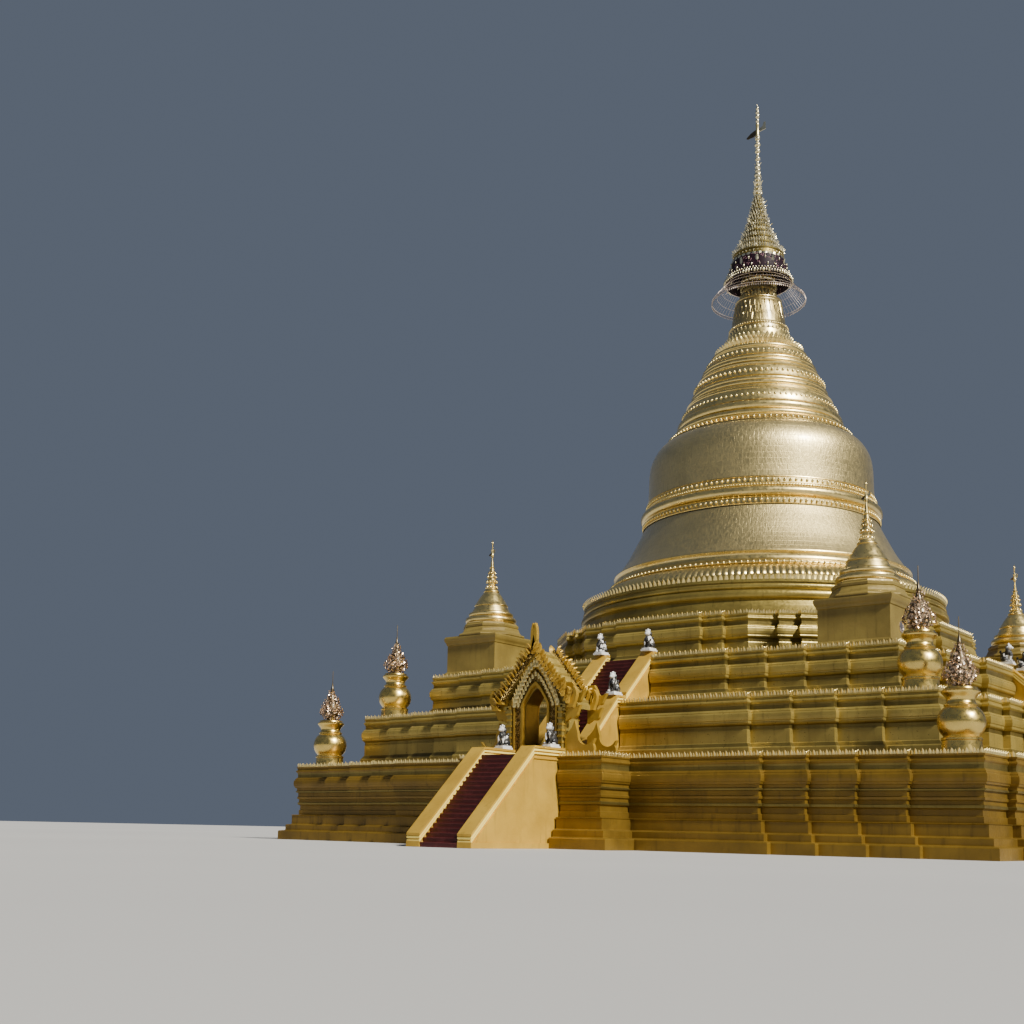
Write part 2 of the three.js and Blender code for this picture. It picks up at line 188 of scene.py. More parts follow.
def turned(profile, segments, centre=(0.0, 0.0), slot=0, flutes=0, flute_depth=0.0):
    """A round mesh from (radius, height) points, with flutes cut into it."""
    points = [(r * M, z * M) for r, z in profile]
    cx, cy = centre[0] * M, centre[1] * M
    vertices, rings, travelled = [], [], [0.0]
    for (r0, z0), (r1, z1) in zip(points, points[1:]):
        travelled.append(travelled[-1] + math.hypot(r1 - r0, z1 - z0))
    for r, z in points:
        if r == 0:
            rings.append([len(vertices)] * segments)
            vertices.append((cx, cy, z))
            continue
        rings.append(list(range(len(vertices), len(vertices) + segments)))
        for i in range(segments):
            angle = 2 * math.pi * i / segments
            radius = r - flute_depth * M * (1 - abs(math.cos(flutes * angle / 2)))
            vertices.append((cx + radius * math.cos(angle), cy + radius * math.sin(angle), z))
    step = 2 * math.pi * max(r for r, _ in points) / segments
    faces, uvs = [], []
    for low, high, v0, v1 in zip(rings, rings[1:], travelled, travelled[1:]):
        for i in range(segments):
            j = (i + 1) % segments
            u0, u1 = i * step, (i + 1) * step
            corners = [(low[i], (u0, v0)), (low[j], (u1, v0)), (high[j], (u1, v1)), (high[i], (u0, v1))]
            if low[i] == low[j]:
                del corners[1]
            elif high[i] == high[j]:
                del corners[2]
            faces.append([index for index, _ in corners])
            uvs += [uv for _, uv in corners]
    return vertices, faces, slot, uvs


def slanted_roll(start, end, bulge, steps=6):
    """Profile points of a half-round moulding between two profile points, bulging to their right."""
    (r0, z0), (r1, z1) = start, end
    length = math.hypot(r1 - r0, z1 - z0)
    nr, nz = (z1 - z0) / length, -(r1 - r0) / length
    points = []
    for i in range(steps + 1):
        share = 0.5 - 0.5 * math.cos(math.pi * i / steps)
        out = bulge * math.sin(math.pi * i / steps)
        points.append((r0 + (r1 - r0) * share + nr * out, z0 + (z1 - z0) * share + nz * out))
    return points


def roll(radius, low, high, bulge, steps=6):
    """Profile points of a half-round moulding from height low to height high."""
    return slanted_roll((radius, low), (radius, high), bulge, steps)


def smooth_profile(points, steps):
    """A smooth curve through profile points, each crossed along the line between its neighbours."""
    out = []
    for i in range(len(points) - 1):
        before, after = points[max(i - 1, 0)], points[min(i + 2, len(points) - 1)]
        for k in range(steps):
            t = k / steps
            out.append(tuple(
                0.5 * (2 * b + (c - a) * t + (2 * a - 5 * b + 4 * c - d) * t * t
                       + (3 * b - a - 3 * c + d) * t ** 3)
                for a, b, c, d in zip(before, points[i], points[i + 1], after)))
    return out + [points[-1]]


# Plans
def stepped_side(apothem, redents, swell, corner, notch=None, bay=None):
    """One side as (along, out) points; notch is the stair's slot and bay the part that stands forward."""
    middle = apothem + len(redents) * REDENT_STEP + swell
    front = bay[1] + swell if bay else middle
    right = [(notch[0], notch[1]), (notch[0], front)] if notch else []
    if bay:
        right += [(bay[0] + swell, front), (bay[0] + swell, middle)]
    for i, along in enumerate(reversed(redents)):
        steps = len(redents) - i
        right.append((along + swell, apothem + steps * REDENT_STEP + swell))
        right.append((along + swell, apothem + (steps - 1) * REDENT_STEP + swell))
    left = [(-x, y) for x, y in reversed(right)]
    return left + right + [(corner, apothem + swell)]


def turned_sides(sides):
    """A closed outline from its sides, each turned on to its place round the axis."""
    outline = []
    for k, side in enumerate(sides):
        angle = 2 * math.pi * k / len(sides)
        c, s = math.cos(angle), math.sin(angle)
        outline += [(along * c + out * s, along * s - out * c) for along, out in side]
    return outline


def terrace_plan(level, swell):
    """Outline of a terrace counted up from 0; the one above the last is the octagonal one."""
    if level == len(TERRACE_TOPS):
        straight, slanted = STRAIGHT_SIDE[0] + swell, SLANTED_SIDE[0] + swell
        pair = [stepped_side(*STRAIGHT_SIDE, swell, slanted * math.sqrt(2) - straight),
                stepped_side(*SLANTED_SIDE, swell, straight * math.sqrt(2) - slanted)]
        return turned_sides(pair * SIDES)
    _, _, _, back, _, _, _ = FLIGHTS[level]
    half = TERRACE_HALF[level]
    side = stepped_side(half, REDENTS[level], swell, half + swell, (BALUSTRADE_OUTER, back),
                        BAY if level == 0 else None)
    return turned_sides([side] * SIDES)


def square_outline(half):
    return [(half, -half), (half, half), (-half, half), (-half, -half)]


def octagon_outline(apothem):
    radius = apothem / math.cos(math.pi / 8)
    angles = [(i + 0.5) * math.pi / 4 for i in range(8)]
    return [(radius * math.cos(a), radius * math.sin(a)) for a in angles]


# Node helpers
SHADER = "Principled BSDF"
FINISHES = {}


def finished(name):
    """The material of a name; the first call makes them all."""
    if not FINISHES:
        make_finishes(bpy.context.scene.stupa_colours)
    return FINISHES[name]


def toned(colour, share):
    return tuple(c * share for c in colour)


def material(name, base, metallic, roughness, **values):
    """Starts a finish and returns its nodes; values are shader inputs, with underscores for spaces."""
    made = bpy.data.materials.new(name)
    made.use_nodes = True
    made.diffuse_color = (*base, 1)
    inputs = made.node_tree.nodes[SHADER].inputs
    inputs["Base Color"].default_value = (*base, 1)
    inputs["Metallic"].default_value = metallic
    inputs["Roughness"].default_value = roughness
    for key, value in values.items():
        inputs[key.replace("_", " ")].default_value = value
    FINISHES[name] = made
    return made.node_tree


def drive(tree, **sockets):
    """Links node outputs to shader inputs, with underscores for spaces."""
    for key, socket in sockets.items():
        tree.links.new(socket, tree.nodes[SHADER].inputs[key.replace("_", " ")])


def node(tree, kind, inputs=None, **settings):
    """A node; its inputs are given as values or as outputs of other nodes."""
    made = tree.nodes.new(kind)
    for key, value in settings.items():
        setattr(made, key, value)
    for key, value in (inputs or {}).items():
        if isinstance(value, bpy.types.NodeSocket):
            tree.links.new(value, made.inputs[key])
        else:
            made.inputs[key].default_value = value
    return made


def coordinates(tree, stretch=(1, 1, 1), source="Object"):
    where = node(tree, "ShaderNodeTexCoord").outputs[source]
    return node(tree, "ShaderNodeMapping", {"Vector": where, "Scale": stretch}).outputs[0]


def noise(tree, scale, detail, stretch=(1, 1, 1), source="Object", roughness=0.55, distortion=0.0):
    return node(tree, "ShaderNodeTexNoise", {
        "Vector": coordinates(tree, stretch, source), "Scale": scale, "Detail": detail,
        "Roughness": roughness, "Distortion": distortion,
    }).outputs["Fac"]


def remap(tree, value, limits, results=(0.0, 1.0)):
    """Turns a value between two limits into one between two results."""
    return node(tree, "ShaderNodeMapRange", {
        "Value": value, "From Min": limits[0], "From Max": limits[1],
        "To Min": results[0], "To Max": results[1],
    }).outputs[0]


def mixed(tree, share, first, second, blend="MIX"):
    """Two colours mixed; the Mix node keeps its colour sockets at places 6, 7 and 2."""
    colours = [(*colour, 1) if isinstance(colour, tuple) else colour for colour in (first, second)]
    return node(tree, "ShaderNodeMix", {0: share, 6: colours[0], 7: colours[1]},
                data_type="RGBA", blend_type=blend).outputs[2]


def maths(tree, operation, first, second=0.5):
    return node(tree, "ShaderNodeMath", {0: first, 1: second}, operation=operation).outputs[0]


def bump(tree, height, strength, distance):
    return node(tree, "ShaderNodeBump", {
        "Height": height, "Strength": strength, "Distance": distance,
    }).outputs[0]


# Finishes
def painted_gold(name, light, dark, metallic, roughness, streaks):
    """Gold paint on plaster: a cloudy tone, rain streaks and a slightly uneven surface."""
    tree = material(name, light, metallic, roughness)
    clouds = remap(tree, noise(tree, scale=0.9, detail=5), (0.35, 0.65))
    rain = noise(tree, scale=1.6, detail=4, stretch=(5, 5, 0.5))
    stains = remap(tree, rain, (0.56, 0.74), (0.0, streaks))
    grain = noise(tree, scale=14, detail=3)
    drive(tree, Base_Color=mixed(tree, stains, mixed(tree, clouds, dark, light), toned(dark, 0.45)),
          Roughness=remap(tree, grain, (0.3, 0.7), (roughness - 0.08, roughness + 0.12)),
          Normal=bump(tree, grain, strength=0.25, distance=0.012))


def plated_gold(name, light, dark, roughness, plate):
    """Thin gold plates nailed over masonry: seams, and each plate a little wrinkled."""
    tree = material(name, light, 1.0, roughness, Coat_Weight=0.9, Coat_Roughness=0.24)
    width, height = plate
    seams = node(tree, "ShaderNodeTexBrick", {
        "Vector": coordinates(tree, source="UV"), "Color1": (1, 1, 1, 1),
        "Color2": (0.88, 0.88, 0.88, 1), "Mortar": (0.3, 0.3, 0.3, 1), "Scale": 1.0,
        "Mortar Size": 0.006, "Mortar Smooth": 0.6, "Brick Width": width * M, "Row Height": height * M,
    }).outputs
    wrinkle = noise(tree, scale=1.0, detail=5, stretch=(15, 5, 1), source="UV", roughness=0.62,
                    distortion=0.8)
    clouds = remap(tree, noise(tree, scale=1.4, detail=4), (0.3, 0.7))
    spots = remap(tree, wrinkle, (0.45, 0.75), (0.0, 0.45))
    spotted = mixed(tree, spots, mixed(tree, clouds, dark, light), toned(dark, 0.62))
    relief = maths(tree, "ADD", wrinkle, maths(tree, "MULTIPLY", seams["Fac"], -0.15))
    drive(tree, Base_Color=mixed(tree, 0.35, spotted, seams["Color"], "MULTIPLY"),
          Roughness=remap(tree, wrinkle, (0.3, 0.7), (roughness - 0.06, roughness + 0.14)),
          Normal=bump(tree, relief, strength=0.5, distance=0.02))


def polished_gold(name, light, roughness, wear):
    """Smooth gold with cloudy gloss."""
    tree = material(name, light, 1.0, roughness, Coat_Weight=0.4, Coat_Roughness=0.2)
    dull = remap(tree, noise(tree, scale=3.2, detail=4), (0.35, 0.7), (0.0, wear))
    grain = noise(tree, scale=9, detail=3)
    drive(tree, Base_Color=mixed(tree, dull, light, toned(light, 0.55)),
          Roughness=remap(tree, grain, (0.3, 0.7), (roughness - 0.05, roughness + 0.12)),
          Normal=bump(tree, grain, strength=0.15, distance=0.01))


def carved_gold(name, light, dark):
    """Gilded carving: crowded raised scrollwork, its hollows darkened as painted shade."""
    tree = material(name, light, metallic=0.8, roughness=0.4)
    swirl = noise(tree, scale=6.5, detail=3, roughness=0.5, distortion=1.6)
    ridge = maths(tree, "ABSOLUTE", maths(tree, "SUBTRACT", swirl, 0.5))
    raised = remap(tree, ridge, (0.0, 0.09), (1.0, 0.0))
    drive(tree, Base_Color=mixed(tree, raised, dark, light),
          Normal=bump(tree, raised, strength=0.8, distance=0.05))


def jewelled(name, ground, glint):
    """Stones in relief on a near-black ground, which is painted shade of the hollow behind the jewel net; a
    share of the stones carry painted glints.
    """
    tree = material(name, ground, metallic=0.0, roughness=0.5, Specular_IOR_Level=0.15)
    cells = node(tree, "ShaderNodeTexVoronoi", {"Vector": coordinates(tree), "Scale": 16.0}).outputs
    stone = remap(tree, cells["Distance"], (0.18, 0.28), (1.0, 0.0))
    red = node(tree, "ShaderNodeSeparateColor", {0: cells["Color"]}).outputs[0]
    bright = maths(tree, "MULTIPLY", stone, remap(tree, red, (0.62, 0.66)))
    drive(tree, Base_Color=mixed(tree, bright, ground, glint),
          Normal=bump(tree, stone, strength=0.6, distance=0.02))


def two_toned(name, first, second, roughness, pattern, limits, most, grit=None):
    """Paint of two tones mixed by a cloudy pattern; grit is the scale, strength and depth of its grain."""
    tree = material(name, first, 0.0, roughness)
    share = remap(tree, noise(tree, **pattern), limits, (0.0, most))
    drive(tree, Base_Color=mixed(tree, share, first, second))
    if grit:
        scale, strength, distance = grit
        drive(tree, Normal=bump(tree, noise(tree, scale, detail=3), strength, distance))


# Gold paint on the building: tone in the light and in the clouds, metal, roughness, rain streaks
GOLD_PAINTS = {
    "gold_paint": (1.0, 0.66, 0.52, 0.34, 0.5),
    # The next is painted shade: a darker gold for the terrace grooves, the inside of the gate arches and the
    # umbrella tiers between their leaves
    "shaded_gold": (0.5, 0.3, 0.7, 0.4, 0.5),
    "tower_gold": (0.85, 0.55, 0.75, 0.36, 0.5),
}
# Other gold paints: colour in the light and in the clouds, metal, roughness, rain streaks
COLOURED_PAINTS = {
    "lower_gold": ((0.24, 0.142, 0.016), (0.15, 0.088, 0.01), 0.4, 0.4, 0.5),
    "body_gold": ((0.28, 0.205, 0.05), (0.19, 0.135, 0.032), 0.25, 0.42, 0.35),
    "coping_gold": ((0.5, 0.31, 0.035), (0.38, 0.23, 0.025), 0.35, 0.4, 0.3),
    "yellow_lines": ((1.0, 0.8, 0.2), (0.9, 0.68, 0.14), 0.05, 0.5, 0.2),
    # The next is painted light: a brighter, oranger copy of the gold paint that stands for sunlight on the
    # stair walls
    "orange_sides": ((0.66, 0.41, 0.055), (0.52, 0.31, 0.04), 0.3, 0.42, 0.35),
}
# Golds with a colour setting: roughness and share of dull clouds
SET_GOLDS = {"ring_gold": (0.3, 0.3), "leaf_gold": (0.32, 0.2), "jar_gold": (0.26, 0.35)}
# Other smooth metals: colour, roughness, share of dull clouds
METALS = {
    "pearl_gold": ((0.95, 0.85, 0.55), 0.24, 0.6),
    "rose_gold": ((0.85, 0.62, 0.42), 0.24, 0.85),
    "pale_silver": ((0.86, 0.72, 0.62), 0.26, 0.55),
    "dark_metal": ((0.12, 0.09, 0.05), 0.45, 0.3),
    "brass_leaf": ((0.8, 0.62, 0.24), 0.2, 0.8),
}
# Plates: colour setting, tones in the light and in the clouds, roughness, width and height of a plate
PLATED = {
    "gold_plates": ("plate_gold", 1.0, 0.85, 0.37, (0.55, 0.42)),
    "engraved_plates": ("ring_gold", 0.68, 0.28, 0.36, (0.3, 0.9)),
}


def make_finishes(colours):
    """Makes every finish from the colour settings and the tables above."""
    paint = tuple(colours.plaster_gold)
    for name, (light, dark, *values) in GOLD_PAINTS.items():
        painted_gold(name, toned(paint, light), toned(paint, dark), *values)
    for name, values in COLOURED_PAINTS.items():
        painted_gold(name, *values)
    for name, values in SET_GOLDS.items():
        polished_gold(name, tuple(getattr(colours, name)), *values)
    for name, values in METALS.items():
        polished_gold(name, *values)
    for name, (setting, light, dark, *values) in PLATED.items():
        colour = getattr(colours, setting)
        plated_gold(name, toned(colour, light), toned(colour, dark), *values)
    carved_gold("carved_gold", light=(0.6, 0.43, 0.14), dark=(0.1, 0.06, 0.012))
    jewelled("dark_jewels", ground=(0.012, 0.003, 0.008), glint=(0.6, 0.3, 0.35))
    for name, base in (("red_treads", tuple(colours.tread_red)), ("pale_stone", (0.7, 0.69, 0.66))):
        worn = tuple(c * 2.2 + 0.02 for c in base)
        two_toned(name, base, worn, roughness=0.55, pattern={"scale": 4, "detail": 5},
                  limits=(0.5, 0.75), most=0.5, grit=(30, 0.2, 0.004))
    two_toned("black_paint", (0.02, 0.02, 0.022), (0.5, 0.49, 0.46), roughness=0.35,
              pattern={"scale": 9, "detail": 4}, limits=(0.55, 0.7), most=0.7)
    two_toned("white_paint", (0.82, 0.8, 0.76), (0.02, 0.018, 0.016), roughness=0.6,
              pattern={"scale": 4.2, "detail": 3, "roughness": 0.5, "distortion": 0.8},
              limits=(0.43, 0.47), most=1.0, grit=(20, 0.3, 0.01))
    two_toned("pale_floor", (0.48, 0.47, 0.455), (0.53, 0.52, 0.5), roughness=0.85,
              pattern={"scale": 0.05, "detail": 3}, limits=(0.3, 0.7), most=1.0)


# Shapes of small ornaments
LEAF = ((0, 0.7), (0.35, 1.0), (0.65, 0.8), (0.88, 0.3))
PANEL = ((0, 0.9), (0.3, 1.0), (0.7, 0.95), (0.9, 0.5))


def leaf_shape(width, height, bulge, curl, outline=LEAF):
    """A pointed leaf facing +Y from (share of height, share of half width) pairs, its tip curled forward."""
    vertices = []
    for share, half in outline:
        y = curl * share ** 3
        for x, out in ((-half, 0.0), (0.0, bulge), (half, 0.0), (0.0, -bulge * 0.5)):
            vertices.append((x * width / 2, y + out, share * height))
    last = len(vertices) - 4
    faces = [(a + (i + 1) % 4, a + i, a + 4 + i, a + 4 + (i + 1) % 4)
             for a in range(0, last, 4) for i in range(4)]
    faces += [(last + (i + 1) % 4, last + i, last + 4) for i in range(4)]
    return vertices + [(0.0, curl * 1.4, height)], faces + [(0, 1, 2, 3)]


def bead_shape(radius, stretch=1.0, around=8, up=4):
    """A round bead centred on the origin; stretch lengthens it along Z."""
    vertices = [(0, 0, -radius * stretch)]
    for k in range(1, up):
        a = -math.pi / 2 + math.pi * k / up
        for i in range(around):
            b = 2 * math.pi * i / around
            vertices.append((radius * math.cos(a) * math.cos(b), radius * math.cos(a) * math.sin(b),
                             radius * stretch * math.sin(a)))
    last = 1 + (up - 2) * around
    faces = []
    for i in range(around):
        j = (i + 1) % around
        faces.append((0, 1 + j, 1 + i))
        faces += [(a + i, a + j, a + around + j, a + around + i) for a in range(1, last, around)]
        faces.append((last + i, last + j, last + around))
    return vertices + [(0, 0, radius * stretch)], faces


def flower_shape(size):
    """A small open flower facing +Y with five petals round a button."""
    vertices, faces = [], []
    for i in range(5):
        middle = 2 * math.pi * i / 5
        first = len(vertices)
        vertices.append((0, 0, 0))
        # Distance from the button, distance forward and turn of a petal's points
        for out, forward, turn in ((0.6, 0.35, 0.5), (1.0, 0.45, 0.0), (0.6, 0.35, -0.5), (0.5, -0.05, 0.0)):
            a = middle + turn
            vertices.append((size * out * math.cos(a), size * forward, size * out * math.sin(a)))
        petal = ((0, 1, 2, 3), (0, 3, 4), (3, 2, 4), (2, 1, 4), (1, 0, 4))
        faces += [tuple(first + corner for corner in face) for face in petal]
    return vertices, faces


def moved(shape, shift):
    return [tuple(a + b for a, b in zip(v, shift)) for v in shape[0]], shape[1]


def together(first, second):
    """One shape from two."""
    start = len(first[0])
    return first[0] + second[0], first[1] + [tuple(start + i for i in face) for face in second[1]]


# Rows of small ornaments
ROW_INPUTS = (
    ("Geometry", "Geometry", "Rows as edges, with out, size and lean on their points"),
    ("Spacing", "Float", "Distance from one ornament to the next"),
    ("Ornament", "Object", "Shape that is repeated"),
    ("Finish", "Material", "Finish of the ornaments"),
)
ROW_TREE = "Ornament rows"


def row_tree():
    """Geometry Nodes: one copy of an ornament every so often along each row of edges."""
    tree = bpy.data.node_groups.new(ROW_TREE, "GeometryNodeTree")
    for name, kind, description in ROW_INPUTS:
        socket = tree.interface.new_socket(name, in_out="INPUT", socket_type="NodeSocket" + kind)
        socket.description = description
    tree.interface.new_socket("Geometry", in_out="OUTPUT", socket_type="NodeSocketGeometry")
    given = tree.nodes.new("NodeGroupInput").outputs

    def on_points(name, kind="FLOAT"):
        return node(tree, "GeometryNodeInputNamedAttribute", {"Name": name},
                    data_type=kind).outputs["Attribute"]

    length = node(tree, "GeometryNodeSplineLength").outputs["Length"]
    closed = node(tree, "GeometryNodeInputSplineCyclic").outputs["Cyclic"]
    gaps = maths(tree, "ROUND", maths(tree, "DIVIDE", length, given["Spacing"]))
    count = maths(tree, "ADD", gaps, maths(tree, "SUBTRACT", 1.0, closed))
    curve = node(tree, "GeometryNodeMeshToCurve", {"Mesh": given["Geometry"]}).outputs["Curve"]
    even = node(tree, "GeometryNodeResampleCurve", {"Curve": curve, "Count": count}, mode="COUNT")
    facing = node(tree, "FunctionNodeAlignRotationToVector", {
        "Vector": on_points("out", "FLOAT_VECTOR")}, axis="Y", pivot_axis="Z").outputs[0]
    lean = node(tree, "ShaderNodeCombineXYZ", {"X": on_points("lean")}).outputs[0]
    tilt = node(tree, "FunctionNodeEulerToRotation", {0: lean}).outputs[0]
    tilted = node(tree, "FunctionNodeRotateRotation", {"Rotation": facing, "Rotate By": tilt},
                  rotation_space="LOCAL").outputs[0]
    ornament = node(tree, "GeometryNodeObjectInfo", {
        "Object": given["Ornament"], "As Instance": True}).outputs["Geometry"]
    placed = node(tree, "GeometryNodeInstanceOnPoints", {
        "Points": even.outputs["Curve"], "Instance": ornament, "Rotation": tilted,
        "Scale": on_points("size")}).outputs[0]
    real = node(tree, "GeometryNodeRealizeInstances", {"Geometry": placed}).outputs[0]
    finish = node(tree, "GeometryNodeSetMaterial", {
        "Geometry": real, "Material": given["Finish"]}).outputs[0]
    tree.links.new(finish, tree.nodes.new("NodeGroupOutput").inputs[0])
    return tree


def row_mesh(name, rows):
    """The rows as edges, with the way out, size and lean of the ornaments on their points."""
    vertices, edges, outs, sizes, leans = [], [], [], [], []
    for points, directions, closed, size, lean in rows:
        first = len(vertices)
        vertices += [tuple(c * M for c in point) for point in points]
        outs += directions
        sizes += size if isinstance(size, list) else [size] * len(points)
        leans += lean if isinstance(lean, list) else [lean] * len(points)
        last = len(vertices) - 1
        edges += [(i, i + 1) for i in range(first, last)]
        if closed:
            edges.append((last, first))
    mesh = bpy.data.meshes.new(name)
    mesh.from_pydata(vertices, edges, [])
    for key, kind, field, values in (("out", "FLOAT_VECTOR", "vector", outs),
                                     ("size", "FLOAT", "value", sizes),
                                     ("lean", "FLOAT", "value", leans)):
        layer = mesh.attributes.new(key, kind, "POINT")
        layer.data.foreach_set(field, np.asarray(values, np.float32).ravel())
    return mesh


def ornaments(name, rows, shape, spacing, finish, smooth=None):
    """A piece made of one shape repeated along rows of (points, ways out, closed, size, lean)."""
    tree = bpy.data.node_groups.get(ROW_TREE) or row_tree()
    master = new_piece(name + "_master", [tuple(c * M for c in v) for v in shape[0]], shape[1])
    holder = shown(name + "_holder", row_mesh(name + "_rows", rows))
    modifier = holder.modifiers.new("Rows", "NODES")
    modifier.node_group = tree
    given = {"Spacing": spacing * M, "Ornament": master, "Finish": finished(finish)}
    for item in tree.interface.items_tree:
        if item.in_out == "INPUT" and item.name in given:
            modifier[item.identifier] = given[item.name]
    graph = bpy.context.evaluated_depsgraph_get()
    mesh = bpy.data.meshes.new_from_object(holder.evaluated_get(graph))
    mesh.name = name
    for attribute in ("out", "size", "lean"):
        if attribute in mesh.attributes:
            mesh.attributes.remove(mesh.attributes[attribute])
    soften(mesh, smooth)
    if len(mesh.polygons) == 0:
        raise RuntimeError(f"{name} has no faces")
    holder.modifiers.clear()
    for spare in (holder, master):
        bpy.data.objects.remove(spare)
    belongs(shown(name, mesh))


def circle_row(radius, height, size=1.0, lean=0.0, centre=(0.0, 0.0), points=96):
    angles = [2 * math.pi * i / points for i in range(points)]
    places = [(centre[0] + radius * math.cos(a), centre[1] + radius * math.sin(a), height)
              for a in angles]
    return places, [(math.cos(a), math.sin(a), 0.0) for a in angles], True, size, lean


def uneven_row(radius, height, size, lean, spread, seed):
    """A circle of ornaments that differ a little in size and lean."""
    places, outs, closed, _, _ = circle_row(radius, height)
    draw = np.random.default_rng(seed)
    sizes = [size * (1 + draw.uniform(-spread, spread)) for _ in places]
    leans = [lean + draw.uniform(-spread, spread) for _ in places]
    return places, outs, closed, sizes, leans


SHORT_WALL = 0.3


def wall_rows(outline, height, inset):
    """One row along each straight wall of an outline, apart from short walls and the stair's slot."""
    rows = []
    for (x0, y0), (x1, y1) in zip(outline, outline[1:] + outline[:1]):
        length = math.hypot(x1 - x0, y1 - y0)
        from_axes = max(min(abs(x0), abs(y0)), min(abs(x1), abs(y1)))
        if length < SHORT_WALL or from_axes <= BALUSTRADE_OUTER + 0.01:
            continue
        tx, ty = (x1 - x0) / length, (y1 - y0) / length
        back = min(inset, length / 2 - 0.01)
        ends = [(x0 + tx * back, y0 + ty * back, height), (x1 - tx * back, y1 - ty * back, height)]
        rows.append((ends, [(ty, -tx, 0.0)] * 2, False, 1.0, 0.0))
    return rows


# Terraces
EDGE_INSET, EDGE_DEPTH = 0.02, 0.05
BLOCKS = (
    # name of the pieces, solid, height of the foot and the top
    ("terrace_1", "terrace_1", PLINTH_TOP, TERRACE_TOPS[0]),
    ("terrace_2", "terrace_2", TERRACE_TOPS[0], TERRACE_TOPS[1]),
    ("terrace_3", "terrace_3", TERRACE_TOPS[1], TERRACE_TOPS[2]),
    ("octagon", "octagon_terrace", TERRACE_TOPS[2], OCTAGON_TOP),
)
# Mouldings as (height, swell), then as (height above the foot, swell) and (depth below the top, swell)
PLINTH_LEVELS = (
    (0.0, 0.8), (0.55, 0.8), (0.6, 0.76), (0.63, 0.5), (0.66, 0.45), (0.98, 0.45), (1.02, 0.4),
    (1.04, 0.2), (1.08, 0.16), (1.62, 0.16), (1.66, 0.2), (1.69, 0.14),
)
LOWEST_FOOT = ((0.0, -0.16), (0.3, -0.16), (0.33, -0.22), (0.62, -0.22))
LOWEST_BANDS = (
    (2.6, -0.17), (2.56, -0.1), (2.44, -0.08), (2.4, -0.14), (2.22, -0.15), (2.18, -0.07), (2.06, -0.05),
    (2.02, -0.1), (1.78, -0.1), (1.74, 0.0), (1.66, 0.03), (1.62, -0.03), (1.46, -0.02), (1.43, 0.06),
    (1.37, 0.08),
)
UPPER_FOOT = ((0.0, 0.12), (0.1, 0.15), (0.62, 0.16), (0.66, 0.15), (0.7, 0.12), (0.9, -0.01), (0.93, -0.03))
UPPER_BANDS = (
    (1.86, -0.03), (1.8, -0.05), (1.62, -0.04), (1.56, 0.02), (1.5, 0.08), (1.44, 0.1), (1.4, 0.09),
)
LIP = (
    (1.34, 0.1), (1.31, 0.13), (1.15, 0.15), (0.98, 0.14), (0.93, 0.12), (0.88, 0.07), (0.86, 0.08),
    (0.83, 0.07), (0.73, -0.01), (0.7, -0.05), (0.52, -0.05), (0.42, -0.02), (0.36, 0.03), (0.32, 0.05),
    (0.26, 0.04), (0.21, -0.02), (0.12, -0.03), (0.08, 0.02), (0.0, 0.03),
)
# Grooves with painted shade: two below the top and one above the foot
TOP_GROOVES, FOOT_GROOVE = ((1.82, 1.55), (0.72, 0.4)), (0.7, 0.9)


class STUPA_OT_terraces(bpy.types.Operator):
    """Build the stepped terraces with their mouldings"""

    bl_idname = "stupa.terraces"
    bl_label = "Terraces"

    def execute(self, context):
        rings = [(z, terrace_plan(0, swell)) for z, swell in PLINTH_LEVELS]
        plinth = joined("plinth_mouldings", [moulded(rings)], ["lower_gold", "shaded_gold"])
        belongs(plinth, nodes=("base_plinth",))
        for i, (name, solid, foot, top) in enumerate(BLOCKS):
            above, below = (UPPER_FOOT, UPPER_BANDS) if i else (LOWEST_FOOT, LOWEST_BANDS)
            rings = [(foot + rise, terrace_plan(i, swell)) for rise, swell in above]
            rings += [(top - depth, terrace_plan(i, swell)) for depth, swell in below + LIP]
            # The grooves take the second finish, painted shade in the recesses
            grooves = [(top - start, top - end) for start, end in TOP_GROOVES]
            grooves.append((foot + FOOT_GROOVE[0], foot + FOOT_GROOVE[1]))
            paint = "gold_paint" if i else "lower_gold"
            piece = joined(name + "_mouldings", [moulded(rings, grooves)], [paint, "shaded_gold"])
            belongs(piece, nodes=(solid,))
        return {"FINISHED"}


class STUPA_OT_leaf_rows(bpy.types.Operator):
    """Stand a row of pointed leaves along the edge of every terrace"""

    bl_idname = "stupa.leaf_rows"
    bl_label = "Leaf rows"

    def execute(self, context):
        sizes = context.scene.stupa_sizes
        pitch, height = sizes.leaf_pitch, sizes.leaf_height
        large = leaf_shape(pitch * 0.5, height, bulge=0.03, curl=0.07)
        small = leaf_shape(pitch * 0.4, height * 0.8, bulge=0.02, curl=0.03)
        pair = together(moved(large, (-pitch / 4, 0, 0)), moved(small, (pitch / 4, 0, 0)))
        for i, (name, _, _, top) in enumerate(BLOCKS):
            rows = wall_rows(terrace_plan(i, -EDGE_INSET), top - EDGE_DEPTH, pitch / 2)
            ornaments(name + "_leaves", rows, pair, pitch, "leaf_gold")
        return {"FINISHED"}


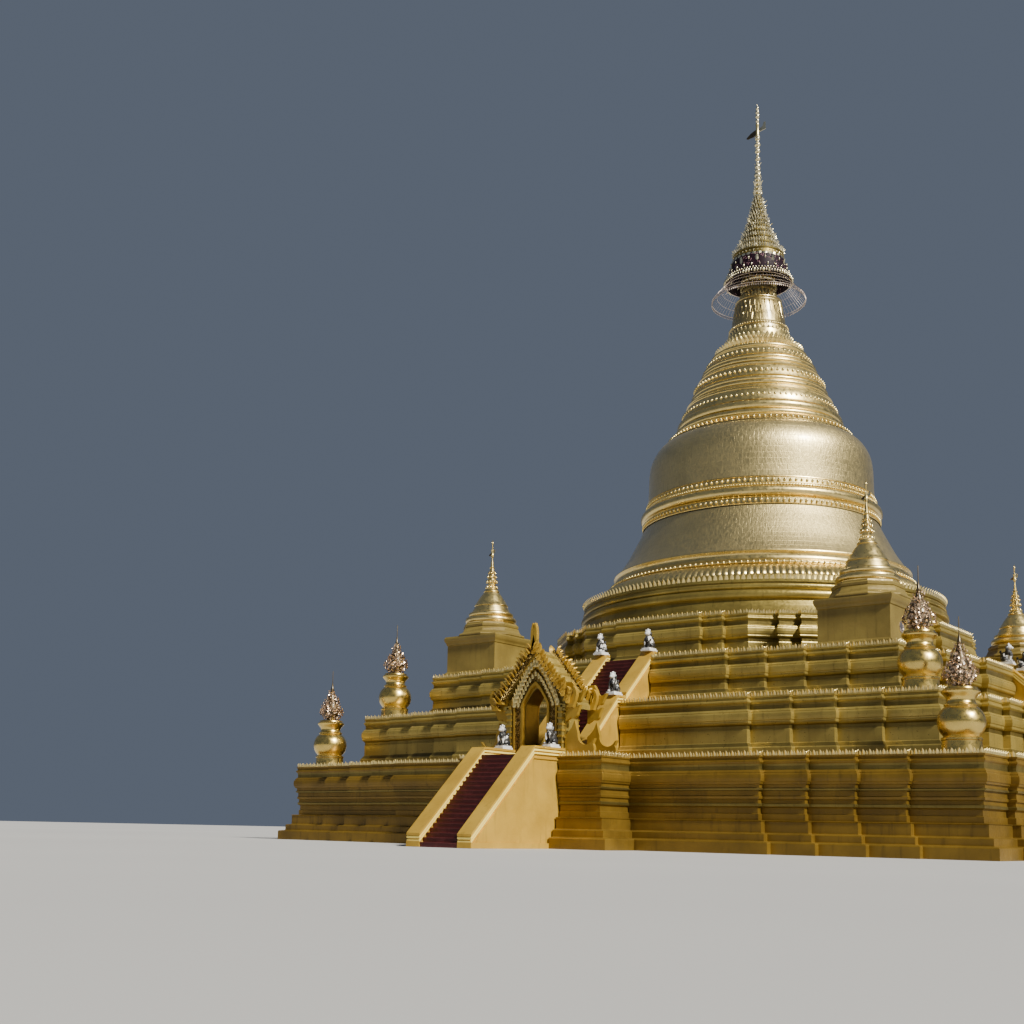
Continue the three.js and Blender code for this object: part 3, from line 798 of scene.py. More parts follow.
# Tower: profiles as (radius, height)
ROUND_BASE = [
    (0, OCTAGON_TOP + GAP), (13.05, OCTAGON_TOP + GAP), (13.05, 15.35), (13.0, 15.5),
    (12.92, 15.66), (12.9, 15.76), (12.95, 15.8), *roll(12.95, 15.82, 16.4, 0.17, 8),
    (12.86, 16.43), (12.86, 16.46), *roll(12.88, 16.48, 16.83, 0.1), (12.84, 16.86), (12.84, 16.9),
    (12.92, 16.92), (12.92, 17.1), (12.7, 17.12), (12.1, 17.2), (12.02, 17.4), (12.0, 17.6),
    (0, 17.6),
]
BELL_FOOT = [
    (0, 17.602), (11.7, 17.602), (11.7, 17.7), (11.0, 18.42), (10.9, 18.5), (10.97, 18.54),
    *roll(10.93, 18.56, 18.74, 0.07, 5), (10.84, 18.78), (10.7, 18.88), (10.6, 19.04),
    (10.58, 19.2), (10.62, 19.34), (10.72, 19.42), (10.74, 19.46), (10.72, 19.52), (10.6, 19.54),
]
PETALS = [(11.4, 17.66), *slanted_roll((12.0, 17.62), (11.02, 18.46), 0.16, 7), (10.9, 18.4)]
LOWER_BELL = smooth_profile([
    (10.58, 19.56), (10.17, 20.1), (9.75, 20.75), (9.45, 21.3), (9.17, 21.85), (8.84, 22.5),
    (8.56, 23.12),
], 4)
BELL_BAND = [
    (8.62, 23.14), (8.64, 23.18), (8.6, 23.22), (8.56, 23.26), (8.54, 23.62), (8.58, 23.66),
    (8.62, 23.69), *roll(8.48, 23.72, 24.42, 0.3, 10), (8.44, 24.44), (8.42, 24.48),
    *roll(8.4, 24.5, 24.62, 0.05, 4), (8.36, 24.66), (8.38, 24.69), (8.32, 24.72), (8.28, 25.1),
    (8.33, 25.13), (8.32, 25.17), (8.25, 25.2),
]
UPPER_BELL = smooth_profile([
    (8.23, 25.22), (8.2, 26.0), (8.16, 27.3), (8.06, 28.05), (7.86, 28.6), (7.55, 29.1),
    (7.2, 29.45), (6.92, 29.66),
], 4)
SHOULDER = [
    (6.94, 29.68), (6.94, 29.72), (6.88, 29.76), (6.82, 29.78), (6.6, 30.0), (6.58, 30.04),
    (6.62, 30.06), (6.6, 30.09), (0, 30.1),
]
CONE = [
    (0, 30.102), (6.5, 30.102), (6.52, 30.16), (6.42, 30.2), (6.25, 30.22),
    *roll(6.12, 30.25, 30.68, 0.2, 8), (5.98, 30.72), *roll(5.88, 30.76, 31.38, 0.22, 8),
    (5.74, 31.41), (5.72, 31.44), (5.8, 31.47), (5.8, 31.52), (5.74, 31.56),
    (5.7, 31.9), (5.56, 32.2), (5.43, 32.42), (5.46, 32.46), (5.43, 32.52), (5.36, 32.54),
    (5.36, 32.6), (5.4, 32.64), (5.36, 32.74), (5.24, 32.8), (5.16, 32.86),
    *roll(5.04, 32.9, 33.2, 0.1), *roll(4.94, 33.22, 33.52, 0.1), (4.86, 33.56), (4.84, 33.6),
    (4.9, 33.63), (4.86, 33.7), (4.78, 34.0), (4.64, 34.3), (4.52, 34.5), (4.56, 34.54),
    (4.52, 34.6), (4.44, 34.62), (4.46, 34.7), (4.42, 34.78), (4.3, 34.82),
    *roll(4.22, 34.88, 35.16, 0.1), *roll(4.12, 35.18, 35.45, 0.1), (4.0, 35.48), (3.98, 35.52),
    (4.04, 35.55), (3.98, 35.62), (3.86, 35.9), (3.68, 36.16), (3.7, 36.2), (3.64, 36.25),
    *roll(3.46, 36.28, 36.56, 0.12), (3.3, 36.6), (3.1, 36.7), (2.78, 36.9), (2.74, 36.94),
    (2.6, 37.1), (2.46, 37.4), (2.34, 37.8), (2.26, 38.08), (2.24, RING_CONE_TOP),
    (0, RING_CONE_TOP),
]
NECK = [
    (0, RING_CONE_TOP + GAP), (2.22, RING_CONE_TOP + GAP), (2.18, 38.3), (2.14, 38.62),
    (2.18, 38.66), (2.17, 38.76), (2.1, 38.8), (2.06, 38.9), (2.04, 38.98), (1.92, 39.6),
    (1.78, 40.4), (1.74, 40.66), (1.76, 40.72), (1.74, 40.8), (1.7, 40.86), (1.76, 40.92),
    (1.75, 40.98), (1.6, 41.02), (1.24, 41.04), (1.2, 41.1), (1.2, 41.75), (1.26, 41.8),
    (1.26, 41.95), (1.2, 42.0), (1.2, NECK_TOP), (0, NECK_TOP),
]
PETAL_COUNT = 180
# Edges sharper than these angles in degrees stay sharp
TOWER_SHARP, SMALL_SHARP, BEAD_SHARP = 40, 35, 60


class STUPA_OT_tower(bpy.types.Operator):
    """Turn the round base, the bell, the ringed cone and the neck"""

    bl_idname = "stupa.tower"
    bl_label = "Tower"

    def execute(self, context):
        facets = context.scene.stupa_sizes.facets
        petals = turned(PETALS, 4 * PETAL_COUNT, flutes=PETAL_COUNT, flute_depth=0.09)
        bell = [turned(BELL_FOOT, facets), petals, turned(LOWER_BELL, facets, slot=1),
                turned(BELL_BAND, facets), turned(UPPER_BELL, facets, slot=1), turned(SHOULDER, facets)]
        for name, parts, finishes, solid, slot in (
            ("round_base_mouldings", [turned(ROUND_BASE, facets)], ["tower_gold"], "round_base", PLASTER),
            ("bell_plates", bell, ["ring_gold", "gold_plates"], "bell", PLATES),
            ("ring_cone_mouldings", [turned(CONE, facets)], ["ring_gold"], "ring_cone", PLATES),
            ("neck_mouldings", [turned(NECK, 64)], ["engraved_plates"], "lotus_neck", PLATES),
        ):
            belongs(joined(name, parts, finishes, TOWER_SHARP), nodes=(solid,))
        return {"FINISHED"}


# Rows on the tower as (radius, height, size, lean)
STONE_ROWS = (
    (11.0, 18.66, 0.9), (8.6, 23.44), (8.33, 24.92), (6.76, 29.9), (5.68, 31.92), (4.8, 34.04),
    (3.87, 35.88, 0.9),
)
BEAD_ROWS = ((8.44, 24.56), (3.24, 36.64), (2.18, 38.72))
NECK_PETAL_ROWS = (
    (2.98, 36.72, 1.0, -0.5), (2.6, 37.06, 0.9, -0.3), (2.42, 37.48, 0.8, -0.2), (2.2, 38.14, 0.6, -0.1),
)
# Uneven rows have the spread of size and lean and the seed as well
NECK_PANEL_ROWS = (
    (1.92, 39.0, 0.9, 0.15, 0.06, 11), (1.82, 39.62, 0.8, 0.12, 0.06, 12), (1.74, 40.14, 0.7, 0.1, 0.06, 13),
)


def circle_rows(rows):
    return [circle_row(*row) for row in rows]


def uneven_rows(rows):
    return [uneven_row(*row) for row in rows]


class STUPA_OT_tower_rows(bpy.types.Operator):
    """Set rows of leaves, stones and petals round the tower"""

    bl_idname = "stupa.tower_rows"
    bl_label = "Tower rows"

    def execute(self, context):
        base_leaf = leaf_shape(width=0.26, height=0.52, bulge=0.05, curl=0.1)
        ornaments("base_leaves", [circle_row(12.86, 16.98, lean=-0.1)], base_leaf, 0.36, "leaf_gold")
        stone, bead = bead_shape(0.1, stretch=1.2), bead_shape(0.06)
        ornaments("tower_stones", circle_rows(STONE_ROWS), stone, 0.39, "leaf_gold", BEAD_SHARP)
        ornaments("tower_beads", circle_rows(BEAD_ROWS), bead, 0.2, "leaf_gold", BEAD_SHARP)
        petal = leaf_shape(width=0.36, height=0.5, bulge=0.08, curl=0.06)
        ornaments("neck_petals", circle_rows(NECK_PETAL_ROWS), petal, 0.34, "leaf_gold")
        panel = leaf_shape(0.34, 0.86, bulge=0.13, curl=0.0, outline=PANEL)
        ornaments("neck_panels", uneven_rows(NECK_PANEL_ROWS), panel, 0.37, "brass_leaf")
        return {"FINISHED"}


# Straight-edged shapes
def prism(points, low, high, across):
    """A closed outline pushed from low to high along the axis across it."""
    count = len(points)
    vertices = [(*p[:across], depth, *p[across:]) for depth in (low, high) for p in points]
    faces = [tuple(range(count)), tuple(range(2 * count - 1, count - 1, -1))]
    faces += [(i, (i + 1) % count, count + (i + 1) % count, count + i) for i in range(count)]
    return vertices, faces


def block(x0, x1, y0, y1, z0, z1):
    return prism([(x0, y0), (x1, y0), (x1, y1), (x0, y1)], z0, z1, Z)


def mirrored(points, side):
    """Points of the right half for side 1, and of the left half for side -1."""
    return [(side * x, z) for x, z in points]


def spun(shape, k):
    """A shape of the front side, turned to side k."""
    c, s = ((1, 0), (0, 1), (-1, 0), (0, -1))[k]
    return [(x * c - y * s, x * s + y * c, z) for x, y, z in shape[0]], shape[1]


def on_all_sides(name, shapes, finishes, smooth=30):
    """One piece from closed (shape, slot) pairs of the front side, repeated on the other three."""
    parts = []
    for k in range(SIDES):
        for shape, slot in shapes:
            vertices, faces = spun(shape, k)
            parts.append(([tuple(c * M for c in v) for v in vertices], faces, slot, None))
    return joined_outward(name, parts, finishes, smooth)


def numbered(name):
    return [f"{name}_{k + 1}" for k in range(SIDES)]


# Stairs
COPING_ABOVE = 0.45
NOSING = 0.03
# Bands of a balustrade: drop of the upper and lower edge below its top, stand-out, slot
RAIL_BANDS = ((0.0, 0.12, 0.05, 0), (0.17, 0.27, 0.04, 3), (0.35, 0.44, 0.03, 3), (0.62, 0.68, 0.0, 0))
KERB_HEIGHT, KERB_OUT = 0.28, 0.06


def stair_shapes(foot, head, back, bottom, top, steps):
    """Treads and two balustrades of the flight on the front side."""
    rise, going = (top - bottom) / steps, (foot - head) / steps
    base = bottom + GAP
    treads = [(-foot, base)]
    for i in range(steps):
        y, z = -(foot - i * going), bottom + (i + 1) * rise
        treads += [(y, z - 0.05), (y - NOSING, z - 0.04), (y - NOSING, z), (y + going, z)]
    treads[-1] = (-head, top)
    treads += [(-back, top), (-back, base)]
    shapes = [(prism(treads, -STAIR_HALF - 0.02, STAIR_HALF + 0.02, X), 1)]

    def rail(drop, out=0.0):
        """Line of the balustrade's top, lowered by drop and starting further out."""
        return [(-foot - out, bottom + COPING_ABOVE + rise - drop), (-head, top + COPING_ABOVE - drop),
                (-back, top + COPING_ABOVE - drop)]

    kerb = [(-back, base), (-foot - KERB_OUT, base), (-foot - KERB_OUT, base + KERB_HEIGHT),
            (-back, base + KERB_HEIGHT)]
    wall = [(-back, base), (-foot, base), *rail(0.1)]
    # Outline, distance in from the treads, distance out from the balustrade's face, slot
    outlines = [(wall, 0.06, -0.1, 2)]
    for upper, lower, out, slot in RAIL_BANDS:
        outlines.append((rail(upper, out) + rail(lower, out)[::-1], 0.05 - out, -0.03 + out, slot))
    outlines.append((kerb, 0.02, 0.02, 0))
    for side in (1, -1):
        for points, inner, outer, slot in outlines:
            low, high = side * (STAIR_HALF + inner), side * (BALUSTRADE_OUTER + outer)
            shapes.append((prism(points, low, high, X), slot))
    return shapes


class STUPA_OT_stairs(bpy.types.Operator):
    """Build the three flights of stairs on each side"""

    bl_idname = "stupa.stairs"
    bl_label = "Stairs"

    def execute(self, context):
        # The stair walls take the brighter gold, painted sunlight
        finishes = ["orange_sides", "red_treads", "orange_sides", "yellow_lines"]
        for name, *sizes in FLIGHTS:
            piece = on_all_sides(name + "s", stair_shapes(*sizes), finishes)
            belongs(piece, nodes=numbered(name))
        return {"FINISHED"}


# Gates: walls, roof and arch
GATE_HALF, GATE_FRONT, GATE_BACK = 2.0, 27.05, 25.7
GATE_FLOOR = TERRACE_TOPS[0] + GAP
ROOF_HALF, ROOF_FRONT, ROOF_BACK = 2.6, 27.35, 25.3
RIDGE, ROOF_FALL = 11.0, 1.2
EAVE = RIDGE - ROOF_HALF * ROOF_FALL
ARCH_HALF, ARCH_SPRING, ARCH_CROWN = 0.8, 7.9, 8.85
# Frames round the arch: half width, width of the frame, crown, stand-out, slot
ARCH_FRAMES = ((0.98, 0.14, 9.2, 0.1, 2), (1.42, 0.4, 9.95, 0.02, 1), (1.52, 0.1, 10.15, 0.09, 2))
FRAME_DEPTH = 0.2
# Pillars beside the arch: half width, stand-out, slot; first the shaft, then its rings
PILLAR_MIDDLE, PILLAR_RINGS, RING_HEIGHT = 1.78, 9, 0.1
SHAFT, RING = (0.13, 0.12), (0.17, 0.16)
# Mouldings at the sides of a gate: foot, top, stand-out
GATE_MOULDINGS = (
    (GATE_FLOOR, GATE_FLOOR + 0.4, 0.1), (GATE_FLOOR + 0.4, GATE_FLOOR + 0.5, 0.05),
    (GATE_FLOOR + 1.05, GATE_FLOOR + 1.12, 0.04), (7.3, 7.4, 0.05), (7.5, 7.62, 0.1), (7.66, 7.86, 0.16),
)


def arch_points(half, spring, crown, count=12):
    """A pointed arch with a drawn-up tip, from its right foot over to its left foot."""
    right = []
    for i in range(count + 1):
        t = i / count
        x = half * (math.cos(t * math.pi / 2) ** 0.9 * (1 - 0.22 * math.sin(t * math.pi)))
        right.append((x, spring + (crown - spring) * t ** 0.85))
    return right + [(-x, z) for x, z in right[-2::-1]]


def arch_band(half, width, crown):
    """A frame of even width round the arch."""
    wide = arch_points(half, ARCH_SPRING, crown)
    narrow = arch_points(half - width, ARCH_SPRING, crown - width * 1.5)
    return [(half, GATE_FLOOR), *wide, (-half, GATE_FLOOR), (-half + width, GATE_FLOOR), *narrow[::-1],
            (half - width, GATE_FLOOR)]


def gate_shapes():
    """Walls, arch frames, pillars and side mouldings of the front gate."""
    top = RIDGE - 0.45
    shoulder = top - GATE_HALF * ROOF_FALL
    arch = arch_points(ARCH_HALF, ARCH_SPRING, ARCH_CROWN)
    walls = [(-GATE_HALF, GATE_FLOOR), (-ARCH_HALF, GATE_FLOOR), *arch[::-1], (ARCH_HALF, GATE_FLOOR),
             (GATE_HALF, GATE_FLOOR), (GATE_HALF, shoulder), (0, top), (-GATE_HALF, shoulder)]
    # A thin lining of painted shade inside the arch, slot 3, darkens the passage
    lining = arch_band(ARCH_HALF, 0.02, ARCH_CROWN)
    shapes = [(prism(walls, -GATE_FRONT + 0.12, -GATE_BACK - 0.05, Y), 0),
              (prism(lining, -GATE_FRONT + 0.13, -GATE_BACK - 0.06, Y), 3)]
    for face, inwards in ((-GATE_FRONT, 1), (-GATE_BACK, -1)):
        end = face + FRAME_DEPTH * inwards
        for half, width, crown, out, slot in ARCH_FRAMES:
            shapes.append((prism(arch_band(half, width, crown), face - out * inwards, end, Y), slot))
        for side in (1, -1):
            pillar = [(SHAFT, GATE_FLOOR, ARCH_SPRING, 0)]
            for i in range(PILLAR_RINGS):
                z = GATE_FLOOR + 0.1 + i * (ARCH_SPRING - GATE_FLOOR - 0.3) / (PILLAR_RINGS - 1)
                pillar.append((RING, z, z + RING_HEIGHT, 2))
            for (half, out), low, high, slot in pillar:
                shapes.append((block(side * (PILLAR_MIDDLE - half), side * (PILLAR_MIDDLE + half),
                                     face - out * inwards, end, low, high), slot))
    for side in (1, -1):
        for low, high, out in GATE_MOULDINGS:
            shapes.append((block(side * (GATE_HALF - 0.2), side * (GATE_HALF + out),
                                 -GATE_FRONT - out, -GATE_BACK + out, low, high), 0))
    return shapes


# Roof of a gate: right half of a verge board, and horns as (foot, height, reach, width)
VERGE_BOARD = (
    (0, RIDGE + 0.2), (0.9, RIDGE - 1.0), (1.8, RIDGE - 2.1), (ROOF_HALF + 0.1, EAVE + 0.1),
    (ROOF_HALF - 0.1, EAVE - 0.16), (1.7, RIDGE - 2.36), (0.85, RIDGE - 1.34), (0, RIDGE - 0.28),
)
ROOF_SLOPE = ((0, RIDGE), (ROOF_HALF, EAVE), (ROOF_HALF, EAVE - 0.26), (0, RIDGE - 0.38))
ROOF_RIBS, HORN_STEPS = 6, 12
EAVE_HORNS = (((ROOF_HALF - 0.02, EAVE - 0.25), 1.15, 0.42, 0.42),
              ((ROOF_HALF - 0.35, EAVE + 0.1), 0.8, 0.3, 0.3))
SPIRE = ((0.0, RIDGE), 1.5, 0.14, 0.34)


def horn(foot, height, reach, width):
    """Outline of a flame that grows up from foot, swings outwards and curls back at its tip."""
    outer, inner = [], []
    for i in range(HORN_STEPS + 1):
        t = i / HORN_STEPS
        x = foot[0] + reach * math.sin(t * 2.6) * (0.4 + 0.6 * t)
        half = width * (1 - t) ** 0.7 * 0.5 + 0.015
        outer.append((x + half, foot[1] + height * t))
        inner.append((x - half, foot[1] + height * t))
    return outer + inner[::-1]


def roof_shapes():
    """Slopes, ribs, verge boards and horns of the front gate's roof."""
    shapes = []
    for side in (1, -1):
        shapes.append((prism(mirrored(ROOF_SLOPE, side), -ROOF_FRONT + 0.05, -ROOF_BACK - 0.05, Y), 0))
        for i in range(ROOF_RIBS):
            x = ROOF_HALF * (i + 0.5) / ROOF_RIBS
            z = RIDGE - ROOF_FALL * x
            rib = mirrored([(x - 0.05, z + 0.02), (x + 0.1, z - 0.1), (x + 0.13, z + 0.02)], side)
            shapes.append((prism(rib, -ROOF_FRONT + 0.1, -ROOF_BACK - 0.1, Y), 0))
        for front, back in ((ROOF_FRONT + 0.06, ROOF_FRONT - 0.16), (ROOF_BACK + 0.16, ROOF_BACK - 0.06)):
            shapes.append((prism(mirrored(VERGE_BOARD, side), -front, -back, Y), 2))
            for values in EAVE_HORNS:
                shapes.append((prism(mirrored(horn(*values), side), -front - 0.02, -back + 0.02, Y), 1))
        spire = mirrored(horn(*SPIRE), side)
        shapes.append((prism(spire, -ROOF_FRONT - 0.02, -ROOF_FRONT + 0.2, Y), 1))
    return shapes


def arc(centre, radius, start, end, count=8):
    """Points along part of a circle, angles in degrees."""
    angles = [math.radians(start + (end - start) * i / count) for i in range(count + 1)]
    return [(centre[0] + radius * math.cos(a), centre[1] + radius * math.sin(a)) for a in angles]


# Flame boards beside a gate as (distance outwards, height above the floor)
FLAME_FOOT = [
    (0.0, 0.0), (1.8, 0.0), *arc((1.5, 0.42), 0.42, -60, 40), (1.95, 0.98),
    *arc((1.36, 1.18), 0.54, -28, -190), (0.72, 1.62), (0.62, 2.0), (0.44, 1.62), (0.2, 1.36), (0.0, 1.2),
]
FLAME_EAVE = [
    (0.0, 1.95), *arc((0.5, 2.42), 0.3, -120, 0), (0.98, 2.82), *arc((0.66, 2.98), 0.27, -40, -180),
    *arc((0.78, 3.2), 0.24, -150, -10), (1.28, 3.62), *arc((0.92, 3.78), 0.3, -40, -180), (0.42, 4.1),
    (0.0, 4.1),
]
BOARD_DEPTH = 0.22


def flame_shapes():
    """Flame boards that stand out beside the front gate, at its front and behind it."""
    shapes = []
    for start, y in ((GATE_HALF + 0.02, -27.0), (BALUSTRADE_OUTER + 0.08, -25.2)):
        for outline in (FLAME_FOOT, FLAME_EAVE):
            points = [(start + x, GATE_FLOOR + z) for x, z in outline]
            shapes += [(prism(mirrored(points, side), y, y + BOARD_DEPTH, Y), 0) for side in (1, -1)]
    return shapes


def gable_rows(front, facing, seed):
    """Uneven leaves up both verges of a gate roof."""
    draw = np.random.default_rng(seed)
    rows = []
    for side in (1, -1):
        for low, size in ((0.0, 1.0), (-0.24, 0.75)):
            points = [(side * (0.15 + (ROOF_HALF - 0.2) * t), -front - facing * low,
                       RIDGE - 0.02 + low + (EAVE + 0.2 - RIDGE) * t) for t in np.linspace(0, 1, 14)]
            sizes = [size * (1 + draw.uniform(-0.35, 0.3)) for _ in points]
            leans = [-0.4 + draw.uniform(-0.4, 0.4) for _ in points]
            rows.append((points, [(side * 0.75, facing * 0.35, 0.0)] * len(points), False, sizes, leans))
    return rows


def arch_rows():
    """Two rows of flames over the arch of the front gate."""
    rows = []
    for half, crown, size in ((1.5, 10.1, 1.0), (1.2, 9.5, 0.6)):
        arch = arch_points(half, ARCH_SPRING - 0.1, crown, 8)
        points = [(x, -GATE_FRONT - 0.08, z) for x, z in arch]
        rows.append((points, [(0.0, -1.0, 0.0)] * len(points), False, size, 0.15))
    return rows


def all_sides(rows):
    """Rows of the front side, repeated on the other three."""
    return [(spun((points, None), k)[0], spun((ways, None), k)[0], *more)
            for k in range(SIDES) for points, ways, *more in rows]


class STUPA_OT_gates(bpy.types.Operator):
    """Build the arched gates at the heads of the lower stairs"""

    bl_idname = "stupa.gates"
    bl_label = "Gates"

    def execute(self, context):
        walls = on_all_sides("gates", gate_shapes(),
                             ["gold_paint", "carved_gold", "coping_gold", "shaded_gold"])
        belongs(walls, nodes=numbered("gate"))
        roofs = on_all_sides("gate_roofs", roof_shapes(), ["gold_paint", "coping_gold", "carved_gold"])
        belongs(roofs, nodes=numbered("gate_roof"))
        belongs(on_all_sides("flame_boards", flame_shapes(), ["coping_gold"]))
        leaf = leaf_shape(width=0.34, height=0.5, bulge=0.1, curl=0.12)
        side_leaf = leaf_shape(width=0.2, height=0.3, bulge=0.07, curl=0.2)
        crocket = together(leaf, moved(side_leaf, (0.13, 0.08, 0.0)))
        verges = gable_rows(ROOF_FRONT - 0.05, -1, seed=5) + gable_rows(ROOF_BACK + 0.05, 1, seed=6)
        ornaments("gate_crockets", all_sides(verges), crocket, 0.27, "coping_gold")
        flame = leaf_shape(width=0.34, height=0.55, bulge=0.1, curl=0.16)
        ornaments("arch_flames", all_sides(arch_rows()), flame, 0.26, "leaf_gold")
        return {"FINISHED"}


# Guardian lions: distance from the middle of a side, distance out from the axis, level they sit on
LION_PLACES = (
    (1.65, 27.8, TERRACE_TOPS[0]), (1.75, 21.85, TERRACE_TOPS[1]), (1.75, 18.05, TERRACE_TOPS[2]),
)
LION_FORMS = (
    # centre, radii, tilt about X in degrees, slot; forms off the middle are mirrored
    ((0.0, 0.12, 0.5), (0.24, 0.3, 0.36), -14, 0),
    ((0.0, -0.08, 0.78), (0.22, 0.2, 0.26), 0, 0),
    ((0.0, -0.16, 1.12), (0.17, 0.17, 0.17), 0, 2),
    ((0.0, -0.32, 1.07), (0.1, 0.09, 0.08), 0, 2),
    ((0.0, -0.04, 1.06), (0.23, 0.14, 0.22), 0, 1),
    ((0.0, -0.12, 1.3), (0.07, 0.07, 0.1), 0, 2),
    ((0.13, -0.14, 1.27), (0.05, 0.04, 0.08), 0, 2),
    ((0.14, -0.24, 0.5), (0.07, 0.08, 0.32), 4, 0),
    ((0.14, -0.32, 0.25), (0.08, 0.12, 0.06), 0, 0),
    ((0.2, 0.12, 0.36), (0.12, 0.24, 0.18), 0, 1),
    ((0.22, -0.04, 0.24), (0.08, 0.2, 0.06), 0, 0),
    ((0.0, -0.26, 0.74), (0.12, 0.06, 0.16), 0, 1),
    ((0.0, 0.36, 0.62), (0.06, 0.07, 0.22), 0, 0),
    ((0.0, 0.4, 0.86), (0.08, 0.08, 0.1), 0, 1),
)


def lion_shapes():
    """A lion on its base, facing -Y, from rounded forms."""
    shapes = [(block(-0.32, 0.32, -0.45, 0.45, 0.0, 0.1), 2),
              (block(-0.27, 0.27, -0.4, 0.4, 0.1, 0.2), 2)]
    ball = bead_shape(1.0, around=10, up=6)
    for (cx, cy, cz), (rx, ry, rz), tilt, slot in LION_FORMS:
        c, s = math.cos(math.radians(tilt)), math.sin(math.radians(tilt))
        sides = (1, -1) if cx else (1,)
        for side in sides:
            points = [(side * cx + x * rx, cy + y * ry * c - z * rz * s, cz + y * ry * s + z * rz * c)
                      for x, y, z in ball[0]]
            shapes.append(((points, ball[1]), slot))
    return shapes


class STUPA_OT_lions(bpy.types.Operator):
    """Seat the guardian lions beside the stairs"""

    bl_idname = "stupa.lions"
    bl_label = "Guardian lions"

    def execute(self, context):
        shapes = []
        for x, y, level in LION_PLACES:
            for side in (1, -1):
                place = (side * x, -y, level + COPING_ABOVE + GAP)
                shapes += [(moved(shape, place), slot) for shape, slot in lion_shapes()]
        belongs(on_all_sides("guardian_lions", shapes, ["white_paint", "black_paint", "pale_stone"], 50))
        return {"FINISHED"}


# Corner stupas: profiles as (radius, height), square walls as (height, swell), tiers as (height, apothem)
CORNER_FLOOR = TERRACE_TOPS[2] + GAP
CORNER_HALF = 2.2
CORNER_WALLS = (
    (CORNER_FLOOR, 0.1), (CORNER_FLOOR + 0.32, 0.1), (CORNER_FLOOR + 0.38, 0.06),
    (CORNER_FLOOR + 0.44, -0.02), (CORNER_FLOOR + 0.5, -0.05), (13.78, -0.05), (13.82, 0.0),
    (13.92, 0.02), (13.98, 0.04), (14.04, 0.08), (14.14, 0.13), (14.32, 0.14), (14.34, 0.1), (14.42, 0.08),
)
CORNER_TIERS = (
    (14.44, 2.3), (14.5, 2.32), (14.57, 2.28), (14.6, 2.2), (14.66, 2.08), (14.8, 1.98), (15.02, 1.9),
    (15.08, 1.84), (15.11, 1.88), (15.24, 1.9), (15.3, 1.86), (15.33, 1.79), (15.41, 1.77),
)
CORNER_BODY = [
    (0, 15.4), (1.72, 15.4), (1.74, 15.48), *roll(1.7, 15.5, 15.88, 0.12, 7), (1.64, 15.91), (1.6, 15.94),
    *roll(1.5, 15.96, 16.24, 0.1, 5), (1.42, 16.28), (1.36, 16.31), (1.34, 16.36), (1.24, 16.56),
    (1.17, 16.72), (1.2, 16.75), (1.2, 16.82), (1.15, 16.86), (1.04, 17.04), (0.93, 17.22),
    (0.81, 17.42), (0.66, 17.62), (0.54, 17.78), (0.57, 17.81), (0.56, 17.88), (0.5, 17.92),
    (0.44, 18.04), (0.47, 18.1), (0.42, 18.16), (0.38, 18.2), (0, 18.2),
]
CORNER_CROWN = [
    (0, 18.2), (0.34, 18.2), (0.38, 18.28), (0.26, 18.32), (0.28, 18.58), (0.4, 18.6), (0.4, 18.68),
    (0.27, 18.72), (0.25, 18.92), (0.33, 18.95), (0.33, 19.02), (0.22, 19.06), (0.2, 19.22),
    (0.27, 19.25), (0.27, 19.31), (0.17, 19.36), (0.15, 19.55), (0.19, 19.6), (0.12, 19.66),
    (0.07, 20.05), (0.04, 20.35), (0.104, 20.4), (0.104, 20.5), (0.04, 20.5), (0.04, 21.3),
    (0.07, 21.36), (0.06, 21.44), (0, 21.7),
]
# Rows of pendants on a corner crown: radius, height, size
PENDANT_ROWS = ((0.4, 18.14, 0.7), (0.38, 18.54, 0.65), (0.32, 18.9, 0.55), (0.26, 19.2, 0.5))
# Vent on the outer side of a corner body: profile, and its middle out from the axis, along the wall and up
VENT = [(0, -0.01), (0.33, -0.01), (0.33, 0.03), (0.27, 0.05), (0.25, 0.02), (0, 0.02)]
VENT_OUT, VENT_ALONG, VENT_HEIGHT = 2.15, -0.55, 12.7


def corner_places(offset):
    return [(offset, -offset), (offset, offset), (-offset, offset), (-offset, -offset)]


def vent_part(cx, cy):
    """The round vent of the corner stupa at a place, its profile turned to face sideways."""
    facing = 1 if cx > 0 else -1
    vertices, faces, _, _ = turned(VENT, 24)
    placed = [(facing * z + (cx + facing * VENT_OUT) * M, x + (cy + VENT_ALONG) * M, y + VENT_HEIGHT * M)
              for x, y, z in vertices]
    return placed, [face[::facing] for face in faces], 2, None


class STUPA_OT_corner_stupas(bpy.types.Operator):
    """Build the four small stupas on the third terrace"""

    bl_idname = "stupa.corner_stupas"
    bl_label = "Corner stupas"

    def execute(self, context):
        walls = moulded([(z, square_outline(CORNER_HALF + swell)) for z, swell in CORNER_WALLS])
        tiers = moulded([(z, octagon_outline(apothem)) for z, apothem in CORNER_TIERS])
        parts, crowns, rows = [], [], []
        for cx, cy in corner_places(CORNER_OFFSET):
            for vertices, faces, slots, uvs in (walls, tiers):
                placed = [(x + cx * M, y + cy * M, z) for x, y, z in vertices]
                parts.append((placed, faces, slots, uvs))
            parts += [turned(CORNER_BODY, 48, (cx, cy), slot=1), vent_part(cx, cy)]
            crowns.append(turned(CORNER_CROWN, 24, (cx, cy)))
            rows += [circle_row(radius, height, size, centre=(cx, cy), points=24)
                     for radius, height, size in PENDANT_ROWS]
        stupas = joined("corner_stupas", parts, ["body_gold", "ring_gold", "pale_silver"], SMALL_SHARP)
        belongs(stupas, nodes=numbered("corner_stupa"))
        belongs(joined("corner_crowns", crowns, ["ring_gold"], SMALL_SHARP))
        pendant = bead_shape(0.07, stretch=1.6)
        ornaments("corner_pendants", rows, pendant, 0.14, "leaf_gold")
        return {"FINISHED"}


